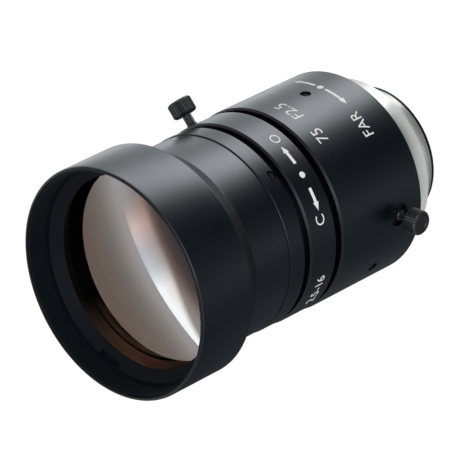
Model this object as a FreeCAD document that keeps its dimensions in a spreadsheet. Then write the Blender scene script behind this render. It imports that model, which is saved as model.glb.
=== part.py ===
import FreeCAD, Part
import math
import os
import Sketcher
from FreeCAD import Placement, Rotation, Vector

# C-mount machine vision lens, millimetres, +Z towards the front glass.
# The origin is the centre of the flange face, where the lens meets the camera.
# Behind the flange are the mount thread and the black ring that the lens stands on.

SIZES = (
    # camera side, fixed
    ("mount_thread_radius", 12.7, "major radius of the 1 inch mount thread"),
    ("mount_thread_length", 3.9, "thread, from the flange face back"),
    ("mount_edge_chamfer", 0.25, "lead-in at the end of the thread"),
    ("mount_nose_radius", 12.3, "plain nose behind the thread"),
    ("mount_nose_length", 0.5, "length of that nose"),
    ("mount_flange_radius", 15.5, "bright flange"),
    ("mount_flange_length", 5.65, "flange face to focus ring"),
    ("mount_light_radius", 10.7, "light passage through the mount"),
    ("baffle_radius", 12.3, "black ring behind the nose"),
    ("baffle_lip_length", 0.8, "part of the ring that shows behind the nose"),
    ("baffle_spigot_radius", 11.4, "spigot screwed into the mount"),
    ("baffle_spigot_length", 3.1, "depth of that spigot"),
    ("baffle_bore_radius", 9.6, "light passage of the black ring"),
    ("spanner_slot_width", 1.2, "spanner slots of the slotted rings"),
    ("spanner_slot_depth", 0.7, "depth of those slots"),
    ("sleeve_spigot_radius", 14.4, "spigot of the fixed sleeve in the mount"),
    ("sleeve_spigot_length", 4.15, "depth of that spigot"),
    ("sleeve_bore_radius", 13.4, "bore of the fixed sleeve"),
    ("sleeve_neck_radius", 15.4, "neck of the fixed sleeve inside the focus ring's lip"),
    ("drum_radius", 16.95, "drum that carries the focus ring"),
    ("drum_length", 5.0, "length of the drum"),
    ("sleeve_tube_radius", 15.1, "tube that guides the moving barrel"),
    ("sleeve_tube_inset", 2.91, "front end of the tube behind the focus ring's front"),
    ("key_width", 3.0, "guide key across"),
    ("key_length", 5.0, "guide key along the axis"),
    ("key_setback", 0.5, "key behind the front end of the sleeve tube"),
    ("key_seat_depth", 0.4, "key let into the sleeve"),
    ("key_height", 1.25, "key from its seat outwards"),
    ("key_screw_radius", 0.5, "shank of the two key screws"),
    ("key_screw_head_radius", 0.9, "head of the two key screws"),
    ("key_screw_pitch", 2.6, "distance between the key screws"),
    ("key_screw_reach", 1.0, "depth of the key screws in the sleeve"),
    ("key_angle", 100.0, "place of the key round the axis"),
    # focus ring
    ("focus_ring_radius", 18.7, "grip of the focus ring"),
    ("focus_ring_length", 20.72, "length of the focus ring"),
    ("focus_ring_bore", 17.2, "bore of the focus ring"),
    ("focus_lip_length", 3.45, "rear lip that hooks behind the drum"),
    ("focus_lip_bore", 15.8, "bore of that lip"),
    ("ring_chamfer", 0.35, "edges of the turned rings"),
    ("nut_radius", 17.1, "outside of the helicoid nut"),
    ("nut_bore", 16.15, "crest of the nut's thread"),
    ("nut_inset", 1.95, "front end of the nut behind the focus ring's front"),
    ("nut_groove_depth", 0.3, "groove for the tips of the grub screws"),
    ("grub_radius", 0.95, "focus ring's grub screws"),
    ("grub_hole_radius", 1.0, "their holes"),
    ("grub_setback", 9.95, "grub screws in front of the ring's rear end"),
    ("grub_sink", 0.45, "grub screws below the surface"),
    ("grub_angle", -45.3, "place of the first grub screw"),
    ("grub_slot_width", 0.35, "screwdriver slots of the small screws"),
    ("grub_slot_depth", 0.4, "depth of those slots"),
    # lock screws
    ("lock_shank_radius", 0.95, "shank of the lock screws"),
    ("lock_hole_radius", 1.0, "holes of the lock screws"),
    ("lock_recess_radius", 2.1, "recess round the focus lock screw"),
    ("lock_recess_depth", 0.9, "depth of that recess"),
    ("lock_head_radius", 2.22, "knurled heads"),
    ("lock_head_length", 2.8, "length of the heads"),
    ("lock_neck_length", 2.35, "neck between ring and head"),
    ("lock_flute_width", 0.42, "straight knurl, width of a flute"),
    ("lock_flute_depth", 0.22, "depth of a flute"),
    ("lock_head_chamfer", 0.25, "edges of the heads"),
    ("focus_lock_setback", 6.05, "focus lock screw in front of the ring's rear end"),
    ("focus_lock_angle", -134.3, "place of the focus lock screw"),
    ("iris_lock_setback", 2.8, "iris lock screw in front of the ring's rear end"),
    ("iris_lock_angle", -1.5, "place of the iris lock screw"),
    # moving barrel
    ("skirt_gap", 0.4, "space behind the barrel's skirt"),
    ("skirt_radius", 16.05, "crest of the barrel's helicoid thread"),
    ("skirt_bore", 15.2, "bore of the skirt round the fixed sleeve"),
    ("web_gap", 0.9, "space in front of the sleeve tube"),
    ("web_bore", 12.6, "thread that holds the rear cell"),
    ("ride_radius", 16.8, "barrel under the rear of the iris ring"),
    ("ride_inset", 0.5, "thread end in front of the nut"),
    ("barrel_radius", 16.2, "front part of the barrel"),
    ("barrel_chamfer", 0.2, "lead-in at the front of the barrel"),
    ("doublet_bore", 15.6, "bore that holds the front doublet"),
    ("chamber_bore", 15.2, "bore of the iris chamber"),
    # iris ring
    ("focus_iris_gap", 1.24, "dark groove between the focus and iris rings"),
    ("iris_ring_radius", 18.5, "grip of the iris ring"),
    ("iris_ring_length", 6.53, "length of the iris ring"),
    ("iris_step_inset", 1.89, "shoulder that stops the iris ring"),
    ("chamber_floor_inset", 0.39, "chamber floor in front of the ring's rear end"),
    ("running_clearance", 0.1, "radial clearance of turning rings"),
    ("end_clearance", 0.06, "axial clearance of turning rings"),
    # iris diaphragm
    ("stop_radius", 8.9, "open aperture of the base plate"),
    ("base_plate_thickness", 0.8, "plate with the pivot holes"),
    ("blade_inner_radius", 9.0, "inner edge of an open blade"),
    ("blade_outer_radius", 12.95, "outer edge of the blade's tail"),
    ("blade_heel_radius", 14.98, "outer edge of the blade's heel"),
    ("blade_heel_angle", 17.0, "heel from the pivot to past the drive pin"),
    ("blade_tail_angle", 114.0, "tail from the pivot to its round tip"),
    ("blade_thickness", 0.12, "blued steel leaf"),
    ("blade_pitch", 0.2, "one blade above the next"),
    ("blade_pivot_radius", 14.1, "circle of the pivot pins"),
    ("blade_heel_end_radius", 0.88, "round end of the heel about the pivot"),
    ("blade_pin_circle", 14.3, "circle of the drive pins when open"),
    ("blade_pin_angle", 12.0, "drive pin from the pivot pin"),
    ("blade_pin_radius", 0.4, "both pins"),
    ("pin_clearance", 0.06, "pins in their holes and slots"),
    ("blade_swing", 27.0, "turn of a blade from open to closed"),
    ("iris_ring_throw", 44.0, "turn of the iris ring from open to closed"),
    ("cam_thickness", 1.8, "cam ring"),
    ("cam_bore", 11.7, "bore of the cam ring"),
    ("drive_screw_radius", 0.6, "screw that joins iris ring and cam ring"),
    ("drive_head_radius", 1.3, "head of the drive screw"),
    ("drive_head_sink", 0.35, "drive screw head below the surface"),
    ("drive_head_length", 0.8, "head of the drive screw"),
    ("drive_screw_bite", 0.95, "drive screw's tip in the cam ring"),
    ("drive_slot_half_width", 0.85, "slot in the barrel for the drive screw"),
    ("drive_slot_margin", 6.0, "slot beyond the throw at each end"),
    ("drive_screw_angle", 84.7, "place of the drive screw"),
    ("iris_retainer_thickness", 1.2, "ring that closes the iris chamber"),
    ("iris_retainer_bore", 11.9, "bore of that ring"),
    # collar in front of the iris ring
    ("collar_gap", 1.41, "dark groove in front of the iris ring"),
    ("collar_spigot_radius", 17.2, "bottom of that groove"),
    ("collar_radius", 18.3, "outside of the collar"),
    ("collar_length", 3.55, "collar from the groove to the front barrel"),
    ("collar_chamfer", 0.15, "seam between collar and front barrel"),
    ("collar_screw_radius", 0.9, "set screws of the collar"),
    ("collar_hole_radius", 0.95, "their holes"),
    ("collar_screw_setback", 0.95, "set screws in front of the collar's rear face"),
    ("collar_screw_sink", 0.4, "set screws below the surface"),
    ("collar_screw_angle", -82.9, "place of the first set screw"),
    ("screw_count", 3, "grub screws and set screws round each ring"),
    # front barrel
    ("neck_radius", 18.15, "neck of the front barrel"),
    ("neck_length", 8.3, "length of the neck"),
    ("shoulder_length", 4.2, "cone between neck and hood"),
    ("hood_radius", 21.0, "outside of the hood"),
    ("hood_length", 12.0, "cylinder of the hood"),
    ("hood_front_chamfer", 0.35, "rim of the hood"),
    ("hood_wall", 1.0, "hood over the crest of the filter thread"),
    ("filter_thread_length", 4.3, "filter thread, from the rim back"),
    ("filter_mouth_chamfer", 0.4, "lead-in of the filter thread"),
    ("barrel_lens_gap", 1.0, "front barrel's inner shoulder to the barrel's end"),
    # front glass
    ("glass_edge_depth", 6.04, "rim of the hood to the visible edge of the glass"),
    ("retainer_ledge", 0.3, "retaining ring's thread inside the filter thread"),
    ("retainer_rim", 0.4, "flat front face of the retaining ring"),
    ("retainer_width", 2.2, "retaining ring, from its thread to the visible glass"),
    ("retainer_slot_width", 4.6, "wide spanner slots of the front retaining ring"),
    ("retainer_slot_angle", 118.6, "place of the first wide slot"),
    ("seat_clearance", 0.05, "parts that drop into their seats"),
    ("front_glass_cover", 0.5, "edge of the front element under the retaining ring"),
    ("front_glass_edge", 5.16, "edge thickness of the front element"),
    ("front_glass_curve", 90.0, "front surface of the front element"),
    ("front_glass_back_curve", 180.0, "rear surface of the front element"),
    ("front_glass_land", 1.6, "flat seat round that rear surface"),
    ("second_glass_wall", 2.25, "neck round the second element"),
    ("second_glass_curve", 32.0, "front surface of the second element"),
    ("second_glass_back_curve", 70.0, "rear surface of the second element"),
    ("second_glass_land", 2.9, "flat seat round that rear surface"),
    ("second_glass_edge", 3.4, "edge thickness of the second element"),
    ("second_glass_depth", 4.0, "its front rim behind the front element's seat"),
    ("front_spacer_width", 1.0, "spacer between the first two elements"),
    ("second_seat_width", 1.3, "shoulder under the second element"),
    ("second_seat_length", 0.9, "length of that shoulder"),
    # front doublet
    ("doublet_seat_depth", 2.3, "iris retainer to the seat of the front doublet"),
    ("doublet_radius", 15.5, "outside of the front doublet"),
    ("third_glass_curve", 26.0, "front surface of the third element"),
    ("third_glass_edge", 0.6, "edge thickness of the third element"),
    ("cement_curve", 38.0, "cemented surface of the front doublet"),
    ("fourth_glass_edge", 2.2, "edge thickness of the fourth element"),
    ("fourth_glass_curve", 18.0, "hollow rear surface of the fourth element"),
    ("fourth_glass_back_radius", 11.5, "rim of that hollow"),
    ("doublet_retainer_bore", 13.6, "ring that holds the front doublet"),
    ("doublet_retainer_length", 1.9, "length of that ring"),
    # rear cell and rear glass
    ("rear_cell_radius", 12.9, "tube that carries the rear group"),
    ("rear_cell_end", 2.0, "rear end of that tube in front of the flange face"),
    ("rear_cell_nose", 0.4, "cell below the floor of the iris chamber"),
    ("rear_glass_radius", 10.6, "outside of the rear element"),
    ("rear_glass_setback", 3.0, "rear element in front of the cell's rear end"),
    ("rear_glass_edge", 3.0, "edge thickness of the rear element"),
    ("rear_glass_curve", 60.0, "rear surface of the rear element"),
    ("rear_glass_front_curve", 40.0, "front surface of the rear element"),
    ("cell_light_radius", 9.9, "light passage in the rear cell"),
    ("rear_retainer_bore", 9.2, "ring behind the rear element"),
    ("rear_retainer_setback", 0.5, "that ring in front of the cell's rear end"),
    ("inner_doublet_depth", 10.6, "rear cell's front end to the inner doublet's seat"),
    ("inner_doublet_radius", 11.5, "outside of the inner doublet"),
    ("sixth_glass_edge", 1.0, "edge thickness of the sixth element"),
    ("sixth_glass_curve", 35.0, "rear surface of the sixth element"),
    ("inner_cement_curve", 25.0, "cemented surface of the inner doublet"),
    ("fifth_glass_edge", 5.4, "edge thickness of the fifth element"),
    ("fifth_glass_curve", 30.0, "hollow front surface of the fifth element"),
    ("fifth_glass_rim", 10.0, "rim of that hollow"),
    ("inner_retainer_bore", 10.2, "ring in front of the inner doublet"),
    ("inner_retainer_length", 1.8, "length of that ring"),
)

BLADE_COUNT = 8
FLUTE_COUNT = 24
SLOTS_PER_RING = 2
CAM_SAMPLES = 8
CAM_STEP = 0.001
BLADE_STEP = 360.0 / BLADE_COUNT

doc = FreeCAD.newDocument("Lens")
sheet = doc.addObject("Spreadsheet::Sheet", "Sizes")
sheet.Label = "Sizes"
for row, (alias, value, meaning) in enumerate(SIZES, start=1):
    sheet.set(f"A{row}", meaning)
    sheet.set(f"B{row}", str(value))
    sheet.setAlias(f"B{row}", alias)
doc.recompute()


class Dim:
    """A length or angle: its present value and the expression that gives it."""

    def __init__(self, value, text):
        self.value = value
        self.text = text

    def __add__(self, other):
        return Dim(self.value + other.value, f"({self.text} + {other.text})")

    def __sub__(self, other):
        return Dim(self.value - other.value, f"({self.text} - {other.text})")

    def __mul__(self, factor):
        return Dim(self.value * factor, f"({self.text} * {factor})")

    def __neg__(self):
        return Dim(-self.value, f"(-{self.text})")


def size(alias):
    return Dim(float(sheet.get(alias)), f"Sizes.{alias}")


def sag(curve, radius):
    """Depth of a spherical surface of the given curve at the given radius."""
    depth = curve.value - math.sqrt(curve.value ** 2 - radius.value ** 2)
    return Dim(depth, f"({curve.text} - sqrt({curve.text}^2 - {radius.text}^2))")


def along(radius, angle):
    value = radius.value * math.cos(math.radians(angle.value))
    return Dim(value, f"({radius.text} * cos({angle.text} * 1 deg))")


def across(radius, angle):
    value = radius.value * math.sin(math.radians(angle.value))
    return Dim(value, f"({radius.text} * sin({angle.text} * 1 deg))")


ZERO = Dim(0.0, "0")
EPSILON = 1e-9
HALF = 0.5
THROUGH = 2.0


def plane(body, role):
    for feature in body.Origin.OriginFeatures:
        if feature.Role == role:
            return feature
    raise RuntimeError(f"no {role} in {body.Label}")


def new_body(label):
    body = doc.addObject("PartDesign::Body", label)
    body.Label = label
    body.AllowCompound = True
    return body


def new_sketch(body, name, role):
    sketch = body.newObject("Sketcher::SketchObject", name)
    sketch.AttachmentSupport = [(plane(body, role), "")]
    sketch.MapMode = "FlatFace"
    return sketch


def tie(sketch, kind, geometry, point, dim):
    """Fix one coordinate of a sketch point and bind it to its expression."""
    axis = -2 if kind == "DistanceX" else -1
    if abs(dim.value) < EPSILON:
        sketch.addConstraint(Sketcher.Constraint("PointOnObject", geometry, point, axis))
        return
    if dim.value > 0:
        constraint = Sketcher.Constraint(kind, -1, 1, geometry, point, dim.value)
    else:
        dim = -dim
        constraint = Sketcher.Constraint(kind, geometry, point, -1, 1, dim.value)
    index = sketch.addConstraint(constraint)
    sketch.setExpression(f"Constraints[{index}]", dim.text)


def outline(sketch, points, arcs=None):
    """Closed outline through points; arcs maps a segment to its centre on the V axis."""
    arcs = arcs or {}
    count = len(points)
    ends = []
    for index in range(count):
        start, finish = points[index], points[(index + 1) % count]
        first = Vector(start[0].value, start[1].value, 0)
        last = Vector(finish[0].value, finish[1].value, 0)
        if index not in arcs:
            geometry = sketch.addGeometry(Part.LineSegment(first, last))
            ends.append((geometry, 1, 2))
            continue
        centre = Vector(0, arcs[index].value, 0)
        begin = math.atan2(first.y - centre.y, first.x - centre.x)
        end = math.atan2(last.y - centre.y, last.x - centre.x)
        sweep = (end - begin + math.pi) % (2 * math.pi) - math.pi
        circle = Part.Circle(centre, Vector(0, 0, 1), (first - centre).Length)
        if sweep > 0:
            geometry = sketch.addGeometry(Part.ArcOfCircle(circle, begin, end))
            ends.append((geometry, 1, 2))
        else:
            geometry = sketch.addGeometry(Part.ArcOfCircle(circle, end, begin))
            ends.append((geometry, 2, 1))
    for index in range(count):
        geometry, _, finish = ends[index]
        following, begin, _ = ends[(index + 1) % count]
        sketch.addConstraint(Sketcher.Constraint("Coincident", geometry, finish, following, begin))
    for index, (x, y) in enumerate(points):
        geometry, begin, _ = ends[index]
        tie(sketch, "DistanceX", geometry, begin, x)
        on_arc = index in arcs or (index - 1) % count in arcs
        if on_arc and abs(x.value) < EPSILON:
            continue
        tie(sketch, "DistanceY", geometry, begin, y)
    for index, centre in arcs.items():
        tie(sketch, "DistanceX", ends[index][0], 3, ZERO)
        tie(sketch, "DistanceY", ends[index][0], 3, centre)


def turned(label, points, arcs=None):
    """A body turned about Z from a profile of (radius, height) points."""
    body = new_body(label)
    sketch = new_sketch(body, f"{label}_profile", "XZ_Plane")
    outline(sketch, points, arcs)
    turn = body.newObject("PartDesign::Revolution", f"{label}_turned")
    turn.Profile = sketch
    turn.ReferenceAxis = (sketch, ["V_Axis"])
    turn.Angle = 360
    sketch.Visibility = False
    doc.recompute()
    return body


def turned_across(label, points):
    """A body turned about X, for a screw that lies along a radius."""
    body = new_body(label)
    sketch = new_sketch(body, f"{label}_profile", "XZ_Plane")
    outline(sketch, points)
    turn = body.newObject("PartDesign::Revolution", f"{label}_turned")
    turn.Profile = sketch
    turn.ReferenceAxis = (sketch, ["H_Axis"])
    turn.Angle = 360
    sketch.Visibility = False
    doc.recompute()
    return body


def circle_sketch(body, name, role, radius, x, y):
    sketch = new_sketch(body, name, role)
    centre = Vector(x.value, y.value, 0)
    sketch.addGeometry(Part.Circle(centre, Vector(0, 0, 1), radius.value))
    tie(sketch, "DistanceX", 0, 3, x)
    tie(sketch, "DistanceY", 0, 3, y)
    index = sketch.addConstraint(Sketcher.Constraint("Radius", 0, radius.value))
    sketch.setExpression(f"Constraints[{index}]", radius.text)
    return sketch


def rectangle_sketch(body, name, role, low, high):
    sketch = new_sketch(body, name, role)
    outline(sketch, [low, (high[0], low[1]), high, (low[0], high[1])])
    return sketch


def face_outwards(sketch, angle, start):
    """Turn a sketch on the YZ plane to the given angle round Z, at radius start."""
    turn = Rotation(Vector(0, 1, 0), angle.value)
    place = Vector(across(start, angle).value, 0, along(start, angle).value)
    sketch.AttachmentOffset = Placement(place, turn)
    sketch.setExpression("AttachmentOffset.Base.x", across(start, angle).text)
    sketch.setExpression("AttachmentOffset.Base.z", along(start, angle).text)
    sketch.setExpression("AttachmentOffset.Rotation.Angle", f"{angle.text} * 1 deg")


def cut_outwards(body, sketch, name, length):
    """Pocket a sketch, away from the axis, and make sure that it cuts."""
    before = body.Shape.Volume
    pocket = body.newObject("PartDesign::Pocket", name)
    pocket.Profile = sketch
    pocket.Length = length.value
    pocket.setExpression("Length", length.text)
    pocket.Reversed = True
    sketch.Visibility = False
    doc.recompute()
    if body.Shape.Volume > before - EPSILON:
        raise RuntimeError(f"{name} cuts nothing")
    return pocket


def pattern(body, feature, name, axis_role, count, count_text=None):
    copies = body.newObject("PartDesign::PolarPattern", name)
    copies.Originals = [feature]
    copies.Axis = (plane(body, axis_role), [""])
    copies.Angle = 360
    copies.Occurrences = int(count)
    if count_text:
        copies.setExpression("Occurrences", count_text)
    body.Tip = copies
    doc.recompute()
    return copies


def radial_hole(body, name, radius, height, angle, start, length):
    sketch = circle_sketch(body, f"{name}_circle", "YZ_Plane", radius, ZERO, height)
    face_outwards(sketch, angle, start)
    return cut_outwards(body, sketch, name, length)


def place_on_radius(body, height, angle):
    """Stand a piece that was made along X at a height and an angle round Z."""
    body.Placement = Placement(Vector(0, 0, height.value), Rotation(Vector(0, 0, 1), angle.value))
    body.setExpression("Placement.Base.z", height.text)
    body.setExpression("Placement.Rotation.Angle", f"{angle.text} * 1 deg")
    doc.recompute()


# Heights along the axis, built up from the flange face.
flange_length = size("mount_flange_length")
focus_rear = flange_length
focus_front = focus_rear + size("focus_ring_length")
iris_rear = focus_front + size("focus_iris_gap")
iris_front = iris_rear + size("iris_ring_length")
collar_rear = iris_front + size("collar_gap")
collar_front = collar_rear + size("collar_length")
neck_front = collar_front + size("neck_length")
hood_rear = neck_front + size("shoulder_length")
hood_front = hood_rear + size("hood_length")

end_gap = size("end_clearance")
run_gap = size("running_clearance")
seat_gap = size("seat_clearance")
pin_gap = size("pin_clearance")
slot_width = size("spanner_slot_width")
slot_depth = size("spanner_slot_depth")

drum_rear = focus_rear + size("focus_lip_length") + end_gap
drum_front = drum_rear + size("drum_length")
tube_front = focus_front - size("sleeve_tube_inset")
nut_rear = drum_front + end_gap
nut_front = focus_front - size("nut_inset")
skirt_rear = drum_front + size("skirt_gap")
web_rear = tube_front + size("web_gap")
chamber_floor = iris_rear + size("chamber_floor_inset")
ride_front = iris_rear + size("iris_step_inset")

plate_top = chamber_floor + size("base_plate_thickness")
blade_stack = size("blade_pitch") * BLADE_COUNT
cam_rear = plate_top + blade_stack + size("blade_pitch")
cam_front = cam_rear + size("cam_thickness")
drive_height = cam_rear + size("cam_thickness") * HALF
iris_retainer_rear = cam_front + end_gap
iris_retainer_front = iris_retainer_rear + size("iris_retainer_thickness")
doublet_seat = iris_retainer_front + size("doublet_seat_depth")

# Radii of the front end, built inwards from the hood and the neck.
filter_thread = size("hood_radius") - size("hood_wall")
retainer_thread = filter_thread - size("retainer_ledge")
retainer_bore = retainer_thread - size("retainer_width")
front_glass = retainer_bore + size("front_glass_cover")
second_glass = size("neck_radius") - size("second_glass_wall")

glass_edge = hood_front - size("glass_edge_depth")
nose_end = -(size("mount_thread_length") + size("mount_nose_length"))
retainer_front = hood_front - size("filter_thread_length")
front_glass_rim = glass_edge + sag(size("front_glass_curve"), retainer_bore)
front_glass_rim = front_glass_rim - sag(size("front_glass_curve"), front_glass)
front_seat = front_glass_rim - size("front_glass_edge")
second_rim = front_seat - size("second_glass_depth")
second_seat = second_rim - size("second_glass_edge")
second_shoulder = second_seat - size("second_seat_length")
barrel_front = second_shoulder - size("barrel_lens_gap")


def mount_ring():
    """Bright C-mount: flange, thread and the web between its two counterbores."""
    thread = size("mount_thread_radius")
    chamfer = size("mount_edge_chamfer")
    flange = size("mount_flange_radius")
    nose = size("mount_nose_radius")
    thread_end = -size("mount_thread_length")
    light = size("mount_light_radius")
    spigot = size("baffle_spigot_radius") + seat_gap
    socket = size("sleeve_spigot_radius") + seat_gap
    socket_floor = flange_length - size("sleeve_spigot_length")
    web_floor = nose_end + size("baffle_spigot_length")
    return turned("mount_ring", [
        (spigot, nose_end),
        (nose, nose_end),
        (nose, thread_end),
        (thread - chamfer, thread_end),
        (thread, thread_end + chamfer),
        (thread, ZERO),
        (flange - chamfer, ZERO),
        (flange, chamfer),
        (flange, flange_length - chamfer),
        (flange - chamfer, flange_length),
        (socket, flange_length),
        (socket, socket_floor),
        (light, socket_floor),
        (light, web_floor),
        (spigot, web_floor),
    ])


def rear_baffle_ring():
    """Black ring screwed into the mount from behind; the lens stands on it."""
    lip = size("baffle_radius")
    chamfer = size("mount_edge_chamfer")
    end = nose_end - size("baffle_lip_length")
    spigot = size("baffle_spigot_radius")
    bore = size("baffle_bore_radius")
    top = nose_end + size("baffle_spigot_length")
    ring = turned("rear_baffle_ring", [
        (bore + slot_depth, end),
        (lip - chamfer, end),
        (lip, end + chamfer),
        (lip, nose_end),
        (spigot, nose_end),
        (spigot, top),
        (bore, top),
        (bore, end + slot_depth),
    ])
    return spanner_slots(ring, "rear_baffle_ring", end, spigot)


def fixed_sleeve():
    """Fixed sleeve: spigot in the mount, drum for the focus ring, guide tube."""
    bore = size("sleeve_bore_radius")
    spigot = size("sleeve_spigot_radius")
    spigot_end = flange_length - size("sleeve_spigot_length")
    neck = size("sleeve_neck_radius")
    drum = size("drum_radius")
    tube = size("sleeve_tube_radius")
    sleeve = turned("fixed_sleeve", [
        (bore, spigot_end),
        (spigot, spigot_end),
        (spigot, flange_length),
        (neck, flange_length),
        (neck, drum_rear),
        (drum, drum_rear),
        (drum, drum_front),
        (tube, drum_front),
        (tube, tube_front),
        (bore, tube_front),
    ])
    half = size("key_width") * HALF
    seat_rear = tube_front - size("key_setback") - size("key_length")
    seat_front = tube_front - size("key_setback")
    sketch = rectangle_sketch(sleeve, "key_seat_shape", "YZ_Plane", (-half, seat_rear), (half, seat_front))
    face_outwards(sketch, size("key_angle"), tube - size("key_seat_depth"))
    cut_outwards(sleeve, sketch, "key_seat", tube)
    middle = seat_rear + size("key_length") * HALF
    for name, side in (("rear", -HALF), ("front", HALF)):
        height = middle + size("key_screw_pitch") * side
        start = tube - size("key_seat_depth") - size("key_screw_reach")
        radial_hole(sleeve, f"key_hole_{name}", size("key_screw_radius"), height,
                    size("key_angle"), start, tube)
    return sleeve


def guide_key():
    """Brass key that keeps the moving barrel from turning."""
    key = new_body("guide_key")
    half = size("key_width") * HALF
    seat_rear = tube_front - size("key_setback") - size("key_length")
    seat_front = tube_front - size("key_setback")
    base = size("sleeve_tube_radius") - size("key_seat_depth")
    sketch = rectangle_sketch(key, "key_shape", "YZ_Plane", (-half, seat_rear), (half, seat_front))
    face_outwards(sketch, size("key_angle"), base)
    pad = key.newObject("PartDesign::Pad", "key_block")
    pad.Profile = sketch
    pad.Length = size("key_height").value
    pad.setExpression("Length", size("key_height").text)
    doc.recompute()
    middle = seat_rear + size("key_length") * HALF
    for name, side in (("rear", -HALF), ("front", HALF)):
        height = middle + size("key_screw_pitch") * side
        radial_hole(key, f"key_bore_{name}", size("key_screw_radius"), height,
                    size("key_angle"), base, size("key_height") * THROUGH)
        sink = base + size("key_height") * HALF
        radial_hole(key, f"key_sink_{name}", size("key_screw_head_radius"), height,
                    size("key_angle"), sink, size("key_height") * THROUGH)
    return key


def guide_key_screws():
    """Two cheese-head screws that hold the key on the sleeve."""
    base = size("sleeve_tube_radius") - size("key_seat_depth")
    shank = size("key_screw_radius")
    head = size("key_screw_head_radius")
    sink = base + size("key_height") * HALF
    end = base - size("key_screw_reach")
    top = base + size("key_height")
    screw = turned_across("guide_key_screws", [
        (end, ZERO),
        (end, shank),
        (sink, shank),
        (sink, head),
        (top, head),
        (top, ZERO),
    ])
    turn = doc.getObject("guide_key_screws_turned")
    row = screw.newObject("PartDesign::LinearPattern", "key_screw_row")
    row.Originals = [turn]
    row.Direction = (plane(screw, "Z_Axis"), [""])
    row.Occurrences = 2
    row.Length = size("key_screw_pitch").value
    row.setExpression("Length", size("key_screw_pitch").text)
    screw.Tip = row
    doc.recompute()
    middle = tube_front - size("key_setback") - size("key_length") * HALF
    place_on_radius(screw, middle - size("key_screw_pitch") * HALF, size("key_angle"))
    return screw


def focus_ring():
    """Focus grip, hooked behind the drum by its rear lip."""
    outer = size("focus_ring_radius")
    bore = size("focus_ring_bore")
    lip = size("focus_lip_bore")
    chamfer = size("ring_chamfer")
    lip_top = focus_rear + size("focus_lip_length")
    ring = turned("focus_ring", [
        (lip, focus_rear),
        (outer - chamfer, focus_rear),
        (outer, focus_rear + chamfer),
        (outer, focus_front - chamfer),
        (outer - chamfer, focus_front),
        (bore, focus_front),
        (bore, lip_top),
        (lip, lip_top),
    ])
    grub_height = focus_rear + size("grub_setback")
    hole = radial_hole(ring, "grub_hole", size("grub_hole_radius"), grub_height,
                       size("grub_angle"), ZERO, outer * THROUGH)
    pattern(ring, hole, "grub_holes", "Z_Axis", size("screw_count").value, "Sizes.screw_count")
    lock_height = focus_rear + size("focus_lock_setback")
    radial_hole(ring, "focus_lock_hole", size("lock_hole_radius"), lock_height,
                size("focus_lock_angle"), ZERO, outer * THROUGH)
    radial_hole(ring, "focus_lock_recess", size("lock_recess_radius"), lock_height,
                size("focus_lock_angle"), outer - size("lock_recess_depth"), outer)
    return ring


def helicoid_nut():
    """Brass nut held in the focus ring; its groove takes the grub screws."""
    outer = size("nut_radius")
    bore = size("nut_bore")
    groove = size("nut_groove_depth")
    middle = focus_rear + size("grub_setback")
    width = size("grub_radius")
    return turned("helicoid_nut", [
        (bore, nut_rear),
        (outer, nut_rear),
        (outer, middle - width),
        (outer - groove, middle),
        (outer, middle + width),
        (outer, nut_front),
        (bore, nut_front),
    ])


def slotted_screw(label, tip, cone, top, radius):
    """A headless screw along X with a cone point and a screwdriver slot."""
    screw = turned_across(label, [
        (tip, ZERO),
        (tip + cone, radius),
        (top, radius),
        (top, ZERO),
    ])
    half = size("grub_slot_width") * HALF
    low = (top - size("grub_slot_depth"), -half)
    high = (top + size("grub_slot_depth"), half)
    sketch = rectangle_sketch(screw, f"{label}_slot_shape", "XZ_Plane", low, high)
    before = screw.Shape.Volume
    slot = screw.newObject("PartDesign::Pocket", f"{label}_slot")
    slot.Profile = sketch
    slot.Midplane = True
    through = radius * (THROUGH + THROUGH)
    slot.Length = through.value
    slot.setExpression("Length", through.text)
    doc.recompute()
    if screw.Shape.Volume > before - EPSILON:
        raise RuntimeError(f"{label} has no slot")
    return screw


def focus_grub_screws():
    """Three grub screws that lock the nut in the focus ring."""
    top = size("focus_ring_radius") - size("grub_sink")
    tip = size("nut_radius") - size("nut_groove_depth") + seat_gap
    cone = size("grub_radius") * HALF
    screw = slotted_screw("focus_grub_screws", tip, cone, top, size("grub_radius"))
    ring_of(screw, "focus_grub_screws")
    place_on_radius(screw, focus_rear + size("grub_setback"), size("grub_angle"))
    return screw


def ring_of(body, label):
    """Repeat a finished screw round the axis, as separate solids."""
    copies = body.newObject("PartDesign::PolarPattern", f"{label}_round")
    copies.Originals = [doc.getObject(f"{label}_turned"), doc.getObject(f"{label}_slot")]
    copies.Axis = (plane(body, "Z_Axis"), [""])
    copies.Angle = 360
    copies.Occurrences = int(size("screw_count").value)
    copies.setExpression("Occurrences", "Sizes.screw_count")
    body.Tip = copies
    doc.recompute()


def lock_screw(label, tip, surface, height, angle):
    """Thumbscrew with a knurled head, along a radius."""
    shank = size("lock_shank_radius")
    head = size("lock_head_radius")
    chamfer = size("lock_head_chamfer")
    base = surface + size("lock_neck_length")
    top = base + size("lock_head_length")
    screw = turned_across(label, [
        (tip, ZERO),
        (tip, shank - chamfer),
        (tip + chamfer, shank),
        (base, shank),
        (base, head - chamfer),
        (base + chamfer, head),
        (top - chamfer, head),
        (top, head - chamfer),
        (top, ZERO),
    ])
    width = size("lock_flute_width")
    depth = size("lock_flute_depth")
    flute = new_sketch(screw, f"{label}_flute_shape", "YZ_Plane")
    outline(flute, [
        (ZERO, head - depth),
        (width, head + depth),
        (-width, head + depth),
    ])
    flute.AttachmentOffset = Placement(Vector(0, 0, base.value), Rotation())
    flute.setExpression("AttachmentOffset.Base.z", base.text)
    cut = cut_outwards(screw, flute, f"{label}_flute", size("lock_head_length"))
    pattern(screw, cut, f"{label}_knurl", "X_Axis", FLUTE_COUNT)
    place_on_radius(screw, height, angle)
    return screw


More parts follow.
